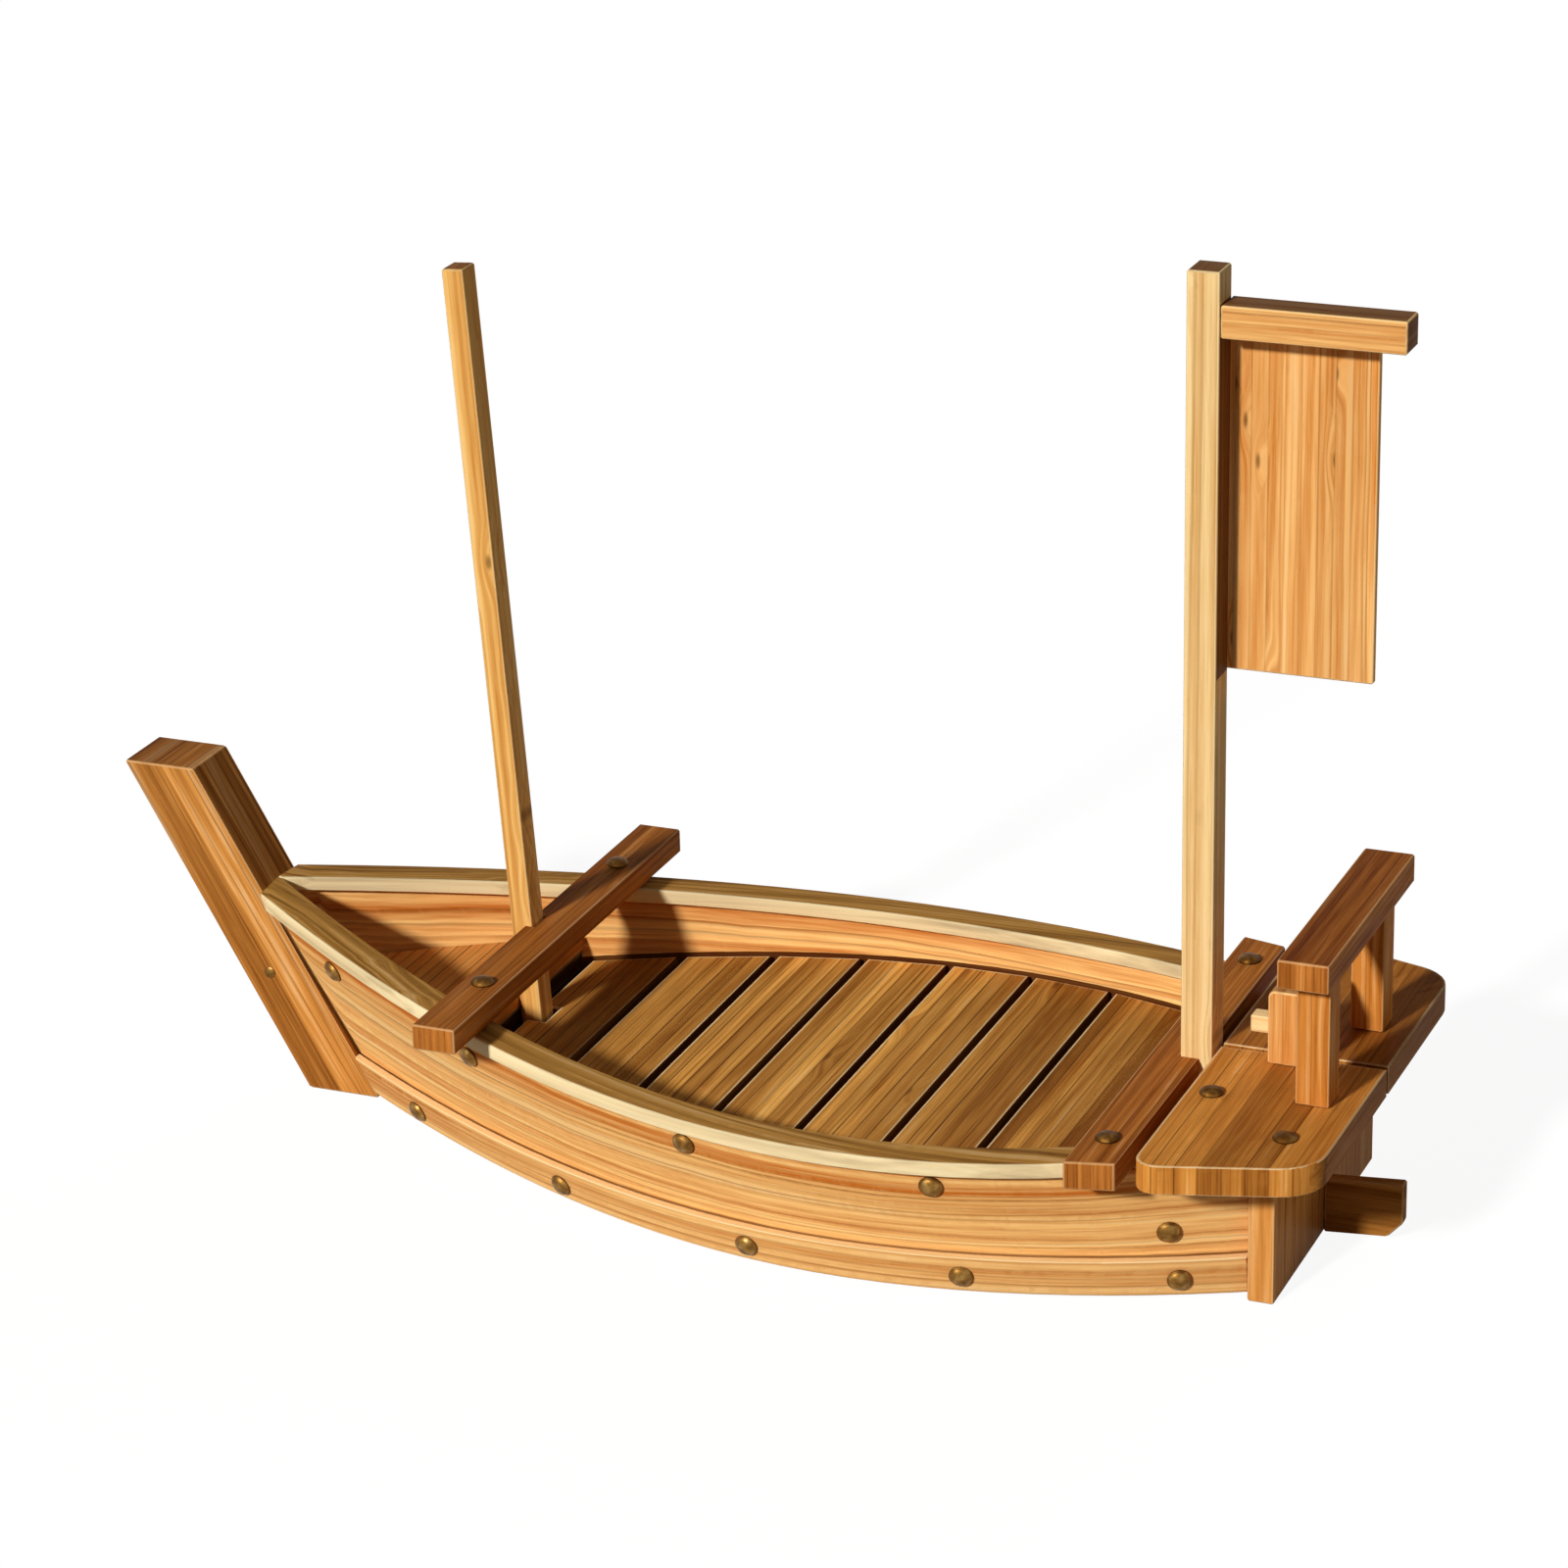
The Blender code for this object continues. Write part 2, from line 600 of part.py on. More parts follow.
# Front mast, raked, let into the bottom board. Its origin is at its foot, on its own axis.
foot_lift = FIT + FRONT_MAST_DEPTH / 2 * math.sin(FRONT_MAST_RAKE)
foot_z = BOTTOM_TOP - MAST_MORTISE + foot_lift
front_mast_length = (FRONT_MAST_TOP - foot_z) / math.cos(FRONT_MAST_RAKE)
front_mast = add_block("front_mast", (FRONT_MAST_DEPTH, FRONT_MAST_WIDTH, front_mast_length),
                       (0.0, 0.0, 0.0), pale_wood)
front_mast.data.transform(Matrix.Translation((0.0, 0.0, front_mast_length / 2)))
front_mast.location = ((front_mast_back_x(foot_z) + front_mast_front_x(foot_z)) / 2, 0.0, foot_z)
front_mast.rotation_euler = (0.0, -FRONT_MAST_RAKE, 0.0)
front_mortise = add_cutter("front_mast_mortise",
                           (FRONT_MAST_DEPTH + 2 * MAST_FIT, FRONT_MAST_WIDTH + 2 * MAST_FIT,
                            2 * MAST_MORTISE), (0.0, 0.0, 0.0))
front_mortise.data.transform(Matrix.Translation((0.0, 0.0, MAST_MORTISE - FIT)))
front_mortise.location = front_mast.location
front_mortise.rotation_euler = front_mast.rotation_euler
cut_out(bottom_board, front_mortise)

# Thwart across the strakes, notched behind for the rear mast
front_y = THWART_FRONT_LENGTH / 2
back_y = THWART_BACK_LENGTH / 2
mast_y = REAR_MAST_WIDTH / 2 + MAST_FIT
thwart_notch_x = THWART_BACK_X - THWART_NOTCH
thwart_outline = [
    (THWART_FRONT_X, front_y), (THWART_FRONT_X, -front_y), (THWART_BACK_X, -back_y),
    (THWART_BACK_X, -mast_y), (thwart_notch_x, -mast_y), (thwart_notch_x, mast_y),
    (THWART_BACK_X, mast_y), (THWART_BACK_X, back_y),
]
thwart = as_mesh(add_plank("aft_thwart", thwart_outline, THWART_BOTTOM, THWART_THICKNESS, brown_wood))

# Stern deck in two halves with rounded outer corners
inner_y = DECK_SLIT / 2
decks = {}
for side_name, side in SIDES:
    front_inner = (DECK_FRONT_X, side * inner_y)
    front_outer = (DECK_FRONT_X, side * DECK_FRONT_BEAM / 2)
    back_outer = (DECK_BACK_X, side * DECK_BACK_BEAM / 2)
    back_inner = (DECK_BACK_X, side * inner_y)
    deck_outline = ([front_inner]
                    + rounded_corner(front_inner, front_outer, back_outer, DECK_FRONT_ROUND)
                    + rounded_corner(front_outer, back_outer, back_inner, DECK_BACK_ROUND)
                    + [back_inner])
    decks[side] = as_mesh(add_plank("stern_deck_" + side_name, deck_outline, DECK_BOTTOM,
                                    DECK_THICKNESS, brown_wood))

# Rear mast, upright and let into the bottom board, with its yard and sail board
rear_mast_x = (REAR_MAST_FRONT_X + REAR_MAST_BACK_X) / 2
rear_mast_foot = BOTTOM_TOP - MAST_MORTISE + FIT
rear_mast_length = REAR_MAST_TOP - rear_mast_foot
rear_mast = add_block("rear_mast", (REAR_MAST_DEPTH, REAR_MAST_WIDTH, rear_mast_length),
                      (rear_mast_x, 0.0, rear_mast_foot), pale_wood)
rear_mast.data.transform(Matrix.Translation((0.0, 0.0, rear_mast_length / 2)))
rear_mortise = add_cutter("rear_mast_mortise",
                          (REAR_MAST_DEPTH + 2 * MAST_FIT, REAR_MAST_WIDTH + 2 * MAST_FIT,
                           2 * MAST_MORTISE), (rear_mast_x, 0.0, BOTTOM_TOP))
cut_out(bottom_board, rear_mortise)
yard_top = REAR_MAST_TOP - YARD_BELOW_TOP
yard_bottom = yard_top - YARD_HEIGHT
yard = add_block("yard", (YARD_LENGTH, REAR_MAST_WIDTH, YARD_HEIGHT),
                 (REAR_MAST_BACK_X + FIT + YARD_LENGTH / 2, 0.0, yard_top - YARD_HEIGHT / 2),
                 honey_wood)
sail_front = REAR_MAST_BACK_X - SAIL_TUCK
sail_back = REAR_MAST_BACK_X + SAIL_REACH
sail_bottom = yard_bottom - SAIL_DROP
sail_top = yard_bottom + SAIL_LAP
sail = add_block("sail_panel", (sail_back - sail_front, SAIL_THICKNESS, sail_top - sail_bottom),
                 ((sail_front + sail_back) / 2, REAR_MAST_WIDTH / 2 + FIT + SAIL_THICKNESS / 2,
                  (sail_bottom + sail_top) / 2), orange_wood)
for rigged in (yard, sail):
    place = rigged.location.copy()
    rigged.parent = rear_mast
    rigged.location = place - rear_mast.location

# Stern rail: two posts and a beam
post_y = RAIL_LENGTH / 2 - POST_INSET - POST_SIZE / 2
for side_name, side in SIDES:
    add_block("rail_post_" + side_name, (POST_SIZE, POST_SIZE, POST_HEIGHT),
              (RAIL_X, side * post_y, DECK_TOP + FIT + POST_HEIGHT / 2), honey_wood)
rail_bottom = DECK_TOP + FIT + POST_HEIGHT + FIT
add_block("rail_beam", (RAIL_WIDTH, RAIL_LENGTH, RAIL_THICKNESS),
          (RAIL_X, 0.0, rail_bottom + RAIL_THICKNESS / 2), brown_wood)

# Rudder head on the deck with a tiller stub let into its front, and the blade on the transom
head_bottom = DECK_TOP + FIT
head_half = HEAD_DEPTH / 2
head_outline = [
    (HEAD_X - head_half, head_bottom), (HEAD_X + head_half, head_bottom),
    (HEAD_X + head_half, head_bottom + HEAD_HEIGHT - HEAD_CHAMFER),
    (HEAD_X + head_half - HEAD_CHAMFER, head_bottom + HEAD_HEIGHT),
    (HEAD_X - head_half + HEAD_CHAMFER, head_bottom + HEAD_HEIGHT),
    (HEAD_X - head_half, head_bottom + HEAD_HEIGHT - HEAD_CHAMFER),
]
head_rings = [[Vector((x, y, z)) for x, z in head_outline] for y in (-HEAD_WIDTH / 2, HEAD_WIDTH / 2)]
head = add_loft("rudder_head", head_rings, honey_wood)
tiller_z = DECK_TOP + TILLER_ABOVE_DECK + TILLER_SIZE / 2
mortise_size = TILLER_SIZE + 2 * FIT
mortise_back = HEAD_X - head_half + TILLER_MORTISE
mortise = add_cutter("tiller_mortise", (2 * TILLER_MORTISE, mortise_size, mortise_size),
                     (mortise_back - TILLER_MORTISE, 0.0, tiller_z))
cut_out(head, mortise)
tiller_front = HEAD_X - head_half - TILLER_REACH
tiller_back = mortise_back - FIT
add_block("tiller", (tiller_back - tiller_front, TILLER_SIZE, TILLER_SIZE),
          ((tiller_front + tiller_back) / 2, 0.0, tiller_z), pale_wood)

blade_front = TRANSOM_BACK_X + FIT
blade_back = blade_front + BLADE_LENGTH
rise = math.tan(BLADE_RISE)
blade_outline = [
    (blade_front, BLADE_LIFT),
    (blade_back - BLADE_CHAMFER, BLADE_LIFT + (BLADE_LENGTH - BLADE_CHAMFER) * rise),
    (blade_back, BLADE_LIFT + BLADE_LENGTH * rise + BLADE_CHAMFER),
    (blade_back, BLADE_LIFT + BLADE_LENGTH * rise + BLADE_HEIGHT),
    (blade_front, BLADE_LIFT + BLADE_HEIGHT),
]
add_side_profile("rudder_blade", blade_outline, BLADE_THICKNESS, dark_wood)


# Brass nails: domed heads on shanks that sit in drilled holes
def add_nail(name, seat, outwards, shank, drilled):
    """Nail turned about its own axis, with its hole drilled in the parts it goes through."""
    radius = NAIL_DIAMETER / 2
    thin = NAIL_SHANK_DIAMETER / 2
    mesh = bpy.data.meshes.new(name)
    profile = bmesh.new()
    dome = ((0.0, 1.0), (0.55, 0.82), (0.9, 0.42), (1.0, 0.0))
    outline = [(share * radius, high * NAIL_HEIGHT) for share, high in dome]
    outline += [(thin, 0.0), (thin, thin - shank), (0.0, -shank)]
    points = [profile.verts.new((out, 0.0, high)) for out, high in outline]
    for first, second in zip(points, points[1:]):
        profile.edges.new((first, second))
    profile.to_mesh(mesh)
    profile.free()
    nail = add_part(name, mesh, brass)
    turn = nail.modifiers.new("turned", "SCREW")
    turn.steps = NAIL_SIDES
    turn.render_steps = NAIL_SIDES
    turn.use_merge_vertices = True
    turn.merge_threshold = 0.00001
    turn.use_smooth_shade = True
    nail.rotation_euler = outwards.to_track_quat("Z", "Y").to_euler()
    nail.location = seat + outwards * FIT
    depth = shank + NAIL_HEIGHT
    hole = bpy.data.meshes.new(name + "_hole")
    drill = bmesh.new()
    bmesh.ops.create_cone(drill, cap_ends=True, segments=NAIL_SIDES, radius1=thin + FIT,
                          radius2=thin + FIT, depth=depth,
                          matrix=Matrix.Translation((0.0, 0.0, NAIL_HEIGHT - FIT - depth / 2)))
    drill.to_mesh(hole)
    drill.free()
    cutter = bpy.data.objects.new(name + "_hole", hole)
    cutters.objects.link(cutter)
    cutter.location = nail.location
    cutter.rotation_euler = nail.rotation_euler
    cutter.hide_render = True
    cutter.display_type = "WIRE"
    for part in drilled:
        cut_out(part, cutter)


def add_side_nail(name, side, x, height, inset, shank, drilled):
    """Nail in the planking, square to its face."""
    t = skin_share(x, height, inset)
    seat = skin_point(t, height, inset)
    lengthwise = skin_point(t + 0.002, height, inset) - skin_point(t - 0.002, height, inset)
    upwards = skin_point(t, height + 0.002, inset) - skin_point(t, height - 0.002, inset)
    outwards = upwards.cross(lengthwise).normalized()
    add_nail(name, mirrored(seat, side), mirrored(outwards, side), shank, drilled)


upper_nails = [(STEM_FOOT_X + along, height) for along, height in UPPER_NAILS_FROM_STEM]
upper_nails += [(TRANSOM_X - along, height) for along, height in UPPER_NAILS_FROM_TRANSOM]
for number, (x, height) in enumerate(upper_nails, 1):
    for side_name, side in SIDES:
        add_side_nail("upper_nail_%s_%d" % (side_name, number), side, x, height, SIDE_OUTSIDE,
                      NAIL_SHANK, (upper_strakes[side],))
lower_nails = [STEM_FOOT_X + along for along in LOWER_NAILS_FROM_STEM]
lower_nails += [TRANSOM_X - along for along in LOWER_NAILS_FROM_TRANSOM]
for number, x in enumerate(lower_nails, 1):
    add_side_nail("lower_nail_port_%d" % number, -1, x, LOWER_NAIL_HEIGHT, 0.0, LOWER_NAIL_SHANK,
                  (lower_strakes[-1], upper_strakes[-1], bottom_board))
up = Vector((0.0, 0.0, 1.0))
beam_x = (CROSSBEAM_FRONT_X + CROSSBEAM_BACK_X) / 2
thwart_x = (THWART_FRONT_X + THWART_BACK_X) / 2
for side_name, side in SIDES:
    add_nail("crossbeam_nail_" + side_name,
             Vector((beam_x, side * BEAM_NAIL_SPACING / 2, CROSSBEAM_TOP)), up,
             NAIL_SHANK, (crossbeam,))
    add_nail("thwart_nail_" + side_name,
             Vector((thwart_x, side * THWART_NAIL_SPACING / 2, THWART_BOTTOM + THWART_THICKNESS)), up,
             NAIL_SHANK, (thwart,))
    # Only the near half of the deck has a nail at its back edge
    for place, (behind, off) in (("front", DECK_NAIL_FRONT), ("back", DECK_NAIL_BACK))[:2 if side < 0 else 1]:
        add_nail("deck_nail_%s_%s" % (place, side_name),
                 Vector((DECK_FRONT_X + behind, side * off, DECK_TOP)), up,
                 NAIL_SHANK, (decks[side],))
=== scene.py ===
"""Wooden sushi boat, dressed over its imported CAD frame: lacquered wood, brass nails and a pale stage."""
import math

import bmesh
import bpy
import numpy as np
from mathutils import Matrix, Vector


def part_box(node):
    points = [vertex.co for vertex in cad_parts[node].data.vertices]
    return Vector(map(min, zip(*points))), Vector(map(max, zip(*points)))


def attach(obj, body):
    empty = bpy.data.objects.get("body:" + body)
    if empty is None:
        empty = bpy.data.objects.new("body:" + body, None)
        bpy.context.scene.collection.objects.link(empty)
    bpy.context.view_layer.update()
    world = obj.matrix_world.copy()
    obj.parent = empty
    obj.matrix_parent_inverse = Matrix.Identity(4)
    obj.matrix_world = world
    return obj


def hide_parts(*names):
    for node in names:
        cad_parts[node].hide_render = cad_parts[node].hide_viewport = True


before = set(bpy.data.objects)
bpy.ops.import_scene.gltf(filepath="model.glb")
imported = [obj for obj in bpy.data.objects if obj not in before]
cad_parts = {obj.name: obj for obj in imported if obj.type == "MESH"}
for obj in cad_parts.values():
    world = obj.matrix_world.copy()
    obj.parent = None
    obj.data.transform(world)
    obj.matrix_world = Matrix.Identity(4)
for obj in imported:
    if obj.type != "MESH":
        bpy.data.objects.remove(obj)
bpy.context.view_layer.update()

bl_info = {
    "name": "Sushi boat",
    "version": (1, 0, 0),
    "blender": (4, 5, 0),
    "location": "View3D > Sidebar > Sushi boat",
    "description": "Dresses the wooden sushi boat with planks, brass nails and a studio stage",
    "category": "Add Mesh",
}

X, Y, Z = Vector((1, 0, 0)), Vector((0, 1, 0)), Vector((0, 0, 1))

# Measures of the boat, in metres
STEM_RAKE = math.radians(29.5)
MAST_RAKE = math.radians(3.71)
STEM_PIN = (-0.2357, 0.0562)     # Place of the stem pins along the boat and above the ground
NODE_NAIL_HEIGHT = 0.0024        # How far the plain nails of the frame stand out of the wood
SHANK_RADIUS = 0.0012
FAR_SHANK, PIN_SHANK = 0.0005, 0.0003   # Lengths of the shanks that have no drilled hole
STRAKE_BREADTH, WALE_BREADTH = 0.062, 0.018   # Upper and lower side boards
ARRIS = 0.0008                   # Breadth of the pale line, a painted highlight, round a slat or a half of the deck
EASED_BREADTH = 0.0015           # Broadest face that counts as an eased edge
SKIN = 0.0005                    # Keeps the outermost wood of a piece inside its first strip
OUTER_DEPTH, INNER_DEPTH = 0.010, 0.024   # Where in the tree the two faces of a bent board lie
MERGE = 1e-6                     # Points that are closer than this are one

# Painted shade on the side boards and on the tops of some pieces, in metres, and how dark it is
FLOOR_LINE_SHADE = (-0.006, 0.0008)   # Heights of the painted shade on the side boards inside, from the top of the floor
LEDGE_SHADE, LEDGE_SHADE_DARK = (-0.004, 0.0006), 0.7   # And of the painted shade above the ledge outside, from the top of the lower boards
STEM_SHADOW, STEM_SHADOW_DARK = 0.0032, 0.85      # Breadth of the painted shadow of the stem beside it
STEM_EASE, STEM_SHADOW_SLANT = 0.0010, 0.016     # Eased edge of the stem, and the slant of its painted shadow in radians
# How dark the painted shade is on the tops of these pieces
PAINTED_TOP_SHADES = {"front_crossbeam": 0.45, "aft_thwart": 0.15, "rail_beam": 1.0, "yard": 0.9}

# Shares and cosines
FACING = 0.85                    # Least cosine of a face that looks along an axis
SAWN = 0.6                       # Least cosine of a face that is sawn across the grain
LEDGE = 0.6                      # Least upward cosine of the ledge of a lower side board
EDGE_ON = 0.3                    # Greatest sideways cosine of the edges of a side board
AFT_EDGE = 0.5                   # Least aft cosine of the eased edge of a slat
EASED_TURN = 0.9                 # Least turn over an eased edge, in radians
BACK_HIGHLIGHT = 0.35                 # Painted highlight of an arris at the back, where it is 1 at the front, which takes the light
LEDGE_HIGHLIGHT, CAP_WEAR = 1.2, 0.88          # Painted highlight on the ledges, and wear of both edges of the caps
CAP_SLANT = 0.09                 # Slant at which the grain of the caps runs off their outer edge
NAIL_FAN = 9                     # More edges than this meet only in the middle of the ends of a CAD nail
LOTS = 977                       # Places in the wood that a piece can be cut from
# Lots whose strips come in about the order of light and dark that the photograph shows
# The starboard half of the stern deck takes a dark lot: painted shade for the shadow that falls over it
CHOSEN_LOTS = {"stem": 513, "transom": 882, "front_crossbeam": 244, "aft_thwart": 372, "floor_slat_1": 882,
               "floor_slat_2": 683, "floor_slat_3": 703, "floor_slat_4": 881, "floor_slat_5": 263,
               "floor_slat_6": 374, "mast_step_plank": 263, "closing_slat": 882, "stern_deck_port": 605,
               "stern_deck_starboard": 90, "rail_post_port": 464, "rail_post_starboard": 464,
               "rail_beam": 76, "rudder_head": 281, "sail_panel": 805}

# Figure that all timbers share, in millimetres, and its share in their tones
COLUMN_STEP, LOT_STEP = 20.0, 100.0       # Keep the draws of the columns of strips and of the lots apart
SHIFT_ALONG, SHIFT_DEEP = 900.0, 170.0    # How far apart in the tree two strips may come from
FIBRE = (26.0, 0.9)              # Length and breadth of the fibres
SWAY_BREADTH = 24.0              # Breadth over which the growth rings sway together
RING_LEAN = 0.7                  # How far the rings lean through the depth of a board
LATE_WOOD = (0.55, 0.95)         # Where in a ring its dark line starts and is full
FAINT_RINGS = (0.25, 0.15)       # Share of the rings that are faint, and how strong these still are
KNOT_EDGE, KNOT_MIDDLE, KNOT_DARK = 0.085, 0.02, 0.75   # Reach of a knot and its core in their spacing
BEND_EDGE, BEND = 0.36, 4.5      # Reach of the bend in the figure round a knot, and its height
GLUE_HALF, GLUE_LEAST = (0.1, 0.5), 0.3   # Half a glue line, dark and faded out, and its faintest places
NOISE_SPAN = (0.28, 0.72)        # Nearly all values of the noise of the bands lie between these
TONE_PLACES = (0.12, 0.54, 0.82, 1.0)     # Late wood, body, early wood and streaks in the range of tones
BODY, STREAKS, WORN = 0.55, 0.2, 0.25     # Body between late and early wood, the others from early to bare
BAND_TONE, BAND_REACH = 0.32, 0.46        # Middle and reach of the tones of the soft bands
FIBRE_TONE = 0.6                 # What the fibres add to these
MIDDLE_TONE, EDGE_SHADE_TONE = 0.10, -0.27        # What the middle of a wide board's outer face adds, and the painted shade along its edges
OUTER_FADE = (11.0, 16.0)        # Depths between which its outer face gives way to the inner one
KNOT_CORE, GLUE_LINE, BARE_WOOD = "#5e3210", "#43210b", "#ffedbc"
PATINA = 1 / 260                 # Patches on the brass, just under 4 mm across

# Stage
CAMERA_LENS, CAMERA_SENSOR = 115.11, 36.0
CAMERA_PLACE = (0.8130, -1.8989, 0.9822)
CAMERA_AXES = ((0.92557, 0.37794, -0.02169), (-0.11907, 0.34506, 0.93100), (0.35934, -0.85913, 0.36438))
KEY_FROM, KEY_SPREAD = (-0.25, -0.968), 5.0
BACK_FROM, BACK_SPREAD = (0.20, 0.96, 0.18), 40.0
FILL_TONE, WHITE = "#fff8ef", "#ffffff"
FLOOR_SHADOW, FLOOR_GLOW = "#696969", 0.92


# Colour and nodes

def linear(code):
    """Linear red, green and blue of an sRGB hex colour."""
    shares = [int(code[i:i + 2], 16) / 255 for i in (1, 3, 5)]
    return [c / 12.92 if c <= 0.04045 else ((c + 0.055) / 1.055) ** 2.4 for c in shares]


def node(tree, kind, inputs=None, **settings):
    """Add a shader node with its settings, and set or link its inputs.

    Inputs go by name, or by number where names repeat or change with the settings. A Map Range reads from
    1 to 2 and gives 3 to 4, and a Mix of colours has them in 6 and 7.
    """
    new = tree.nodes.new("ShaderNode" + kind)
    for key, value in settings.items():
        setattr(new, key, value)
    for socket, value in (inputs or {}).items():
        if isinstance(value, bpy.types.NodeSocket):
            tree.links.new(value, new.inputs[socket])
        else:
            new.inputs[socket].default_value = value
    return new


def ramp_stops(ramp, stops):
    """Set the stops of a colour ramp from (place, linear colour) pairs."""
    elements = ramp.color_ramp.elements
    stops = list(stops)
    while len(elements) < len(stops):
        elements.new(0.5)
    for element, (place, colour) in zip(elements, stops):
        element.position = place
        element.color = (*colour, 1.0)


def lacquered_wood(name, tones, strip=(1000.0, 1000.0), strip_change=0.2, seam=0.0, band=(260.0, 11.0),
                   band_change=1.0, ring=(3.0, 240.0, 3.0), ring_change=0.5, knots=(150.0, 34.0, 0.12),
                   roughness=0.45, end_shade=0.65, painted_edge_shade=None):
    """Satin-lacquered wood. All sizes are in millimetres and follow the grain of the piece.

    tones are its late wood, body, early wood, palest streaks and pale edges, worn and painted as highlights.
    strip is the breadth of the glued strips across the grain in both directions, and seam how dark their
    glue lines are. band is the length and breadth of the soft figure. ring is the spacing of the growth
    rings, the length over which they sway, and how many rings far. strip_change, band_change and
    ring_change are the contrasts of these. knots are their spacing along and across the grain and the share
    of the places that hold one. end_shade is how much light sawn ends and painted shade still throw back.
    The last argument is the middle of a wide board's outer face, and how far from it the painted shade
    along both edges starts and is full.
    """
    material = bpy.data.materials.new(name)
    material.use_nodes = True
    tree = material.node_tree
    shader = tree.nodes["Principled BSDF"]

    grain = node(tree, "Attribute", attribute_name="grain", attribute_type="GEOMETRY")
    place = node(tree, "VectorMath", {0: grain.outputs["Vector"], "Scale": 1000.0}, operation="SCALE")
    axes = node(tree, "SeparateXYZ", {0: place.outputs[0]})
    along, across, depth = axes.outputs

    # Every glued strip comes from another tree: it has its own tint and its own run of figure
    row = node(tree, "Math", {0: across, 1: strip[0]}, operation="DIVIDE")
    column = node(tree, "Math", {0: depth, 1: strip[1]}, operation="DIVIDE")
    row_number = node(tree, "Math", {0: row.outputs[0]}, operation="FLOOR")
    column_number = node(tree, "Math", {0: column.outputs[0]}, operation="FLOOR")
    cell = node(tree, "Math", {0: column_number.outputs[0], 1: COLUMN_STEP, 2: row_number.outputs[0]},
                operation="MULTIPLY_ADD")
    board = node(tree, "Attribute", attribute_name="board", attribute_type="GEOMETRY")
    ticket = node(tree, "Math", {0: board.outputs["Fac"], 1: LOT_STEP, 2: cell.outputs[0]},
                  operation="MULTIPLY_ADD")
    chance = node(tree, "TexWhiteNoise", {"W": ticket.outputs[0]}, noise_dimensions="1D")
    draws = node(tree, "SeparateColor", {0: chance.outputs["Color"]})
    shifted = node(tree, "Math", {0: draws.outputs[0], 1: SHIFT_ALONG, 2: along}, operation="MULTIPLY_ADD")
    deeper = node(tree, "Math", {0: draws.outputs[1], 1: SHIFT_DEEP, 2: depth}, operation="MULTIPLY_ADD")

    # Knots: a few of the places hold one, and the figure bends round it
    knot_along = node(tree, "Math", {0: shifted.outputs[0], 1: knots[0]}, operation="DIVIDE")
    knot_across = node(tree, "Math", {0: across, 1: knots[1]}, operation="DIVIDE")
    knot_place = node(tree, "CombineXYZ", {0: knot_along.outputs[0], 1: knot_across.outputs[0]})
    cells = node(tree, "TexVoronoi", {"Vector": knot_place.outputs[0], "Scale": 1.0}, voronoi_dimensions="2D")
    cell_draw = node(tree, "SeparateColor", {0: cells.outputs["Color"]})
    has_knot = node(tree, "Math", {0: cell_draw.outputs[0], 1: knots[2]}, operation="LESS_THAN")
    core = node(tree, "MapRange", {0: cells.outputs["Distance"], 1: KNOT_EDGE, 2: KNOT_MIDDLE,
                                   3: 0.0, 4: KNOT_DARK}, interpolation_type="SMOOTHSTEP")
    swell = node(tree, "MapRange", {0: cells.outputs["Distance"], 1: BEND_EDGE, 2: 0.0, 3: 0.0, 4: BEND},
                 interpolation_type="SMOOTHSTEP")
    knot = node(tree, "Math", {0: core.outputs[0], 1: has_knot.outputs[0]}, operation="MULTIPLY")
    bent = node(tree, "Math", {0: swell.outputs[0], 1: has_knot.outputs[0], 2: across},
                operation="MULTIPLY_ADD")
    figure = node(tree, "CombineXYZ", {0: shifted.outputs[0], 1: bent.outputs[0], 2: deeper.outputs[0]})

    # Soft bands and fine fibres, drawn out along the grain. The fibres are drawn about three times
    # as coarse as they are, so that they show
    band_place = node(tree, "VectorMath", {0: figure.outputs[0], 1: (1 / band[0], 1 / band[1], 1 / band[1])},
                      operation="MULTIPLY")
    bands = node(tree, "TexNoise", {"Vector": band_place.outputs[0], "Scale": 1.0, "Detail": 2.5,
                                    "Roughness": 0.5, "Distortion": 0.3})
    fibre_place = node(tree, "VectorMath", {0: figure.outputs[0],
                                            1: (1 / FIBRE[0], 1 / FIBRE[1], 1 / FIBRE[1])},
                       operation="MULTIPLY")
    fibres = node(tree, "TexNoise", {"Vector": fibre_place.outputs[0], "Scale": 1.0, "Detail": 1.0})

    # Growth rings cut lengthways: thin dark lines that sway together, some strong and most faint
    sway_place = node(tree, "VectorMath", {0: figure.outputs[0],
                                           1: (1 / ring[1], 1 / SWAY_BREADTH, 1 / SWAY_BREADTH)},
                      operation="MULTIPLY")
    sway = node(tree, "TexNoise", {"Vector": sway_place.outputs[0], "Scale": 1.0, "Detail": 1.5})
    radius = node(tree, "Math", {0: deeper.outputs[0], 1: RING_LEAN, 2: bent.outputs[0]},
                  operation="MULTIPLY_ADD")
    ring_count = node(tree, "Math", {0: radius.outputs[0], 1: ring[0]}, operation="DIVIDE")
    rings = node(tree, "Math", {0: sway.outputs[0], 1: ring[2], 2: ring_count.outputs[0]},
                 operation="MULTIPLY_ADD")
    ring_number = node(tree, "Math", {0: rings.outputs[0]}, operation="FLOOR")
    ring_place = node(tree, "Math", {0: rings.outputs[0]}, operation="FRACT")
    ring_draw = node(tree, "TexWhiteNoise", {"W": ring_number.outputs[0]}, noise_dimensions="1D")
    late_wood = node(tree, "MapRange", {0: ring_place.outputs[0], 1: LATE_WOOD[0], 2: LATE_WOOD[1]},
                     interpolation_type="SMOOTHSTEP")
    strength = node(tree, "MapRange", {0: ring_draw.outputs["Value"], 1: FAINT_RINGS[0], 2: 1.0,
                                       3: FAINT_RINGS[1] * ring_change, 4: ring_change})
    dark_line = node(tree, "Math", {0: late_wood.outputs[0], 1: strength.outputs[0]}, operation="MULTIPLY")
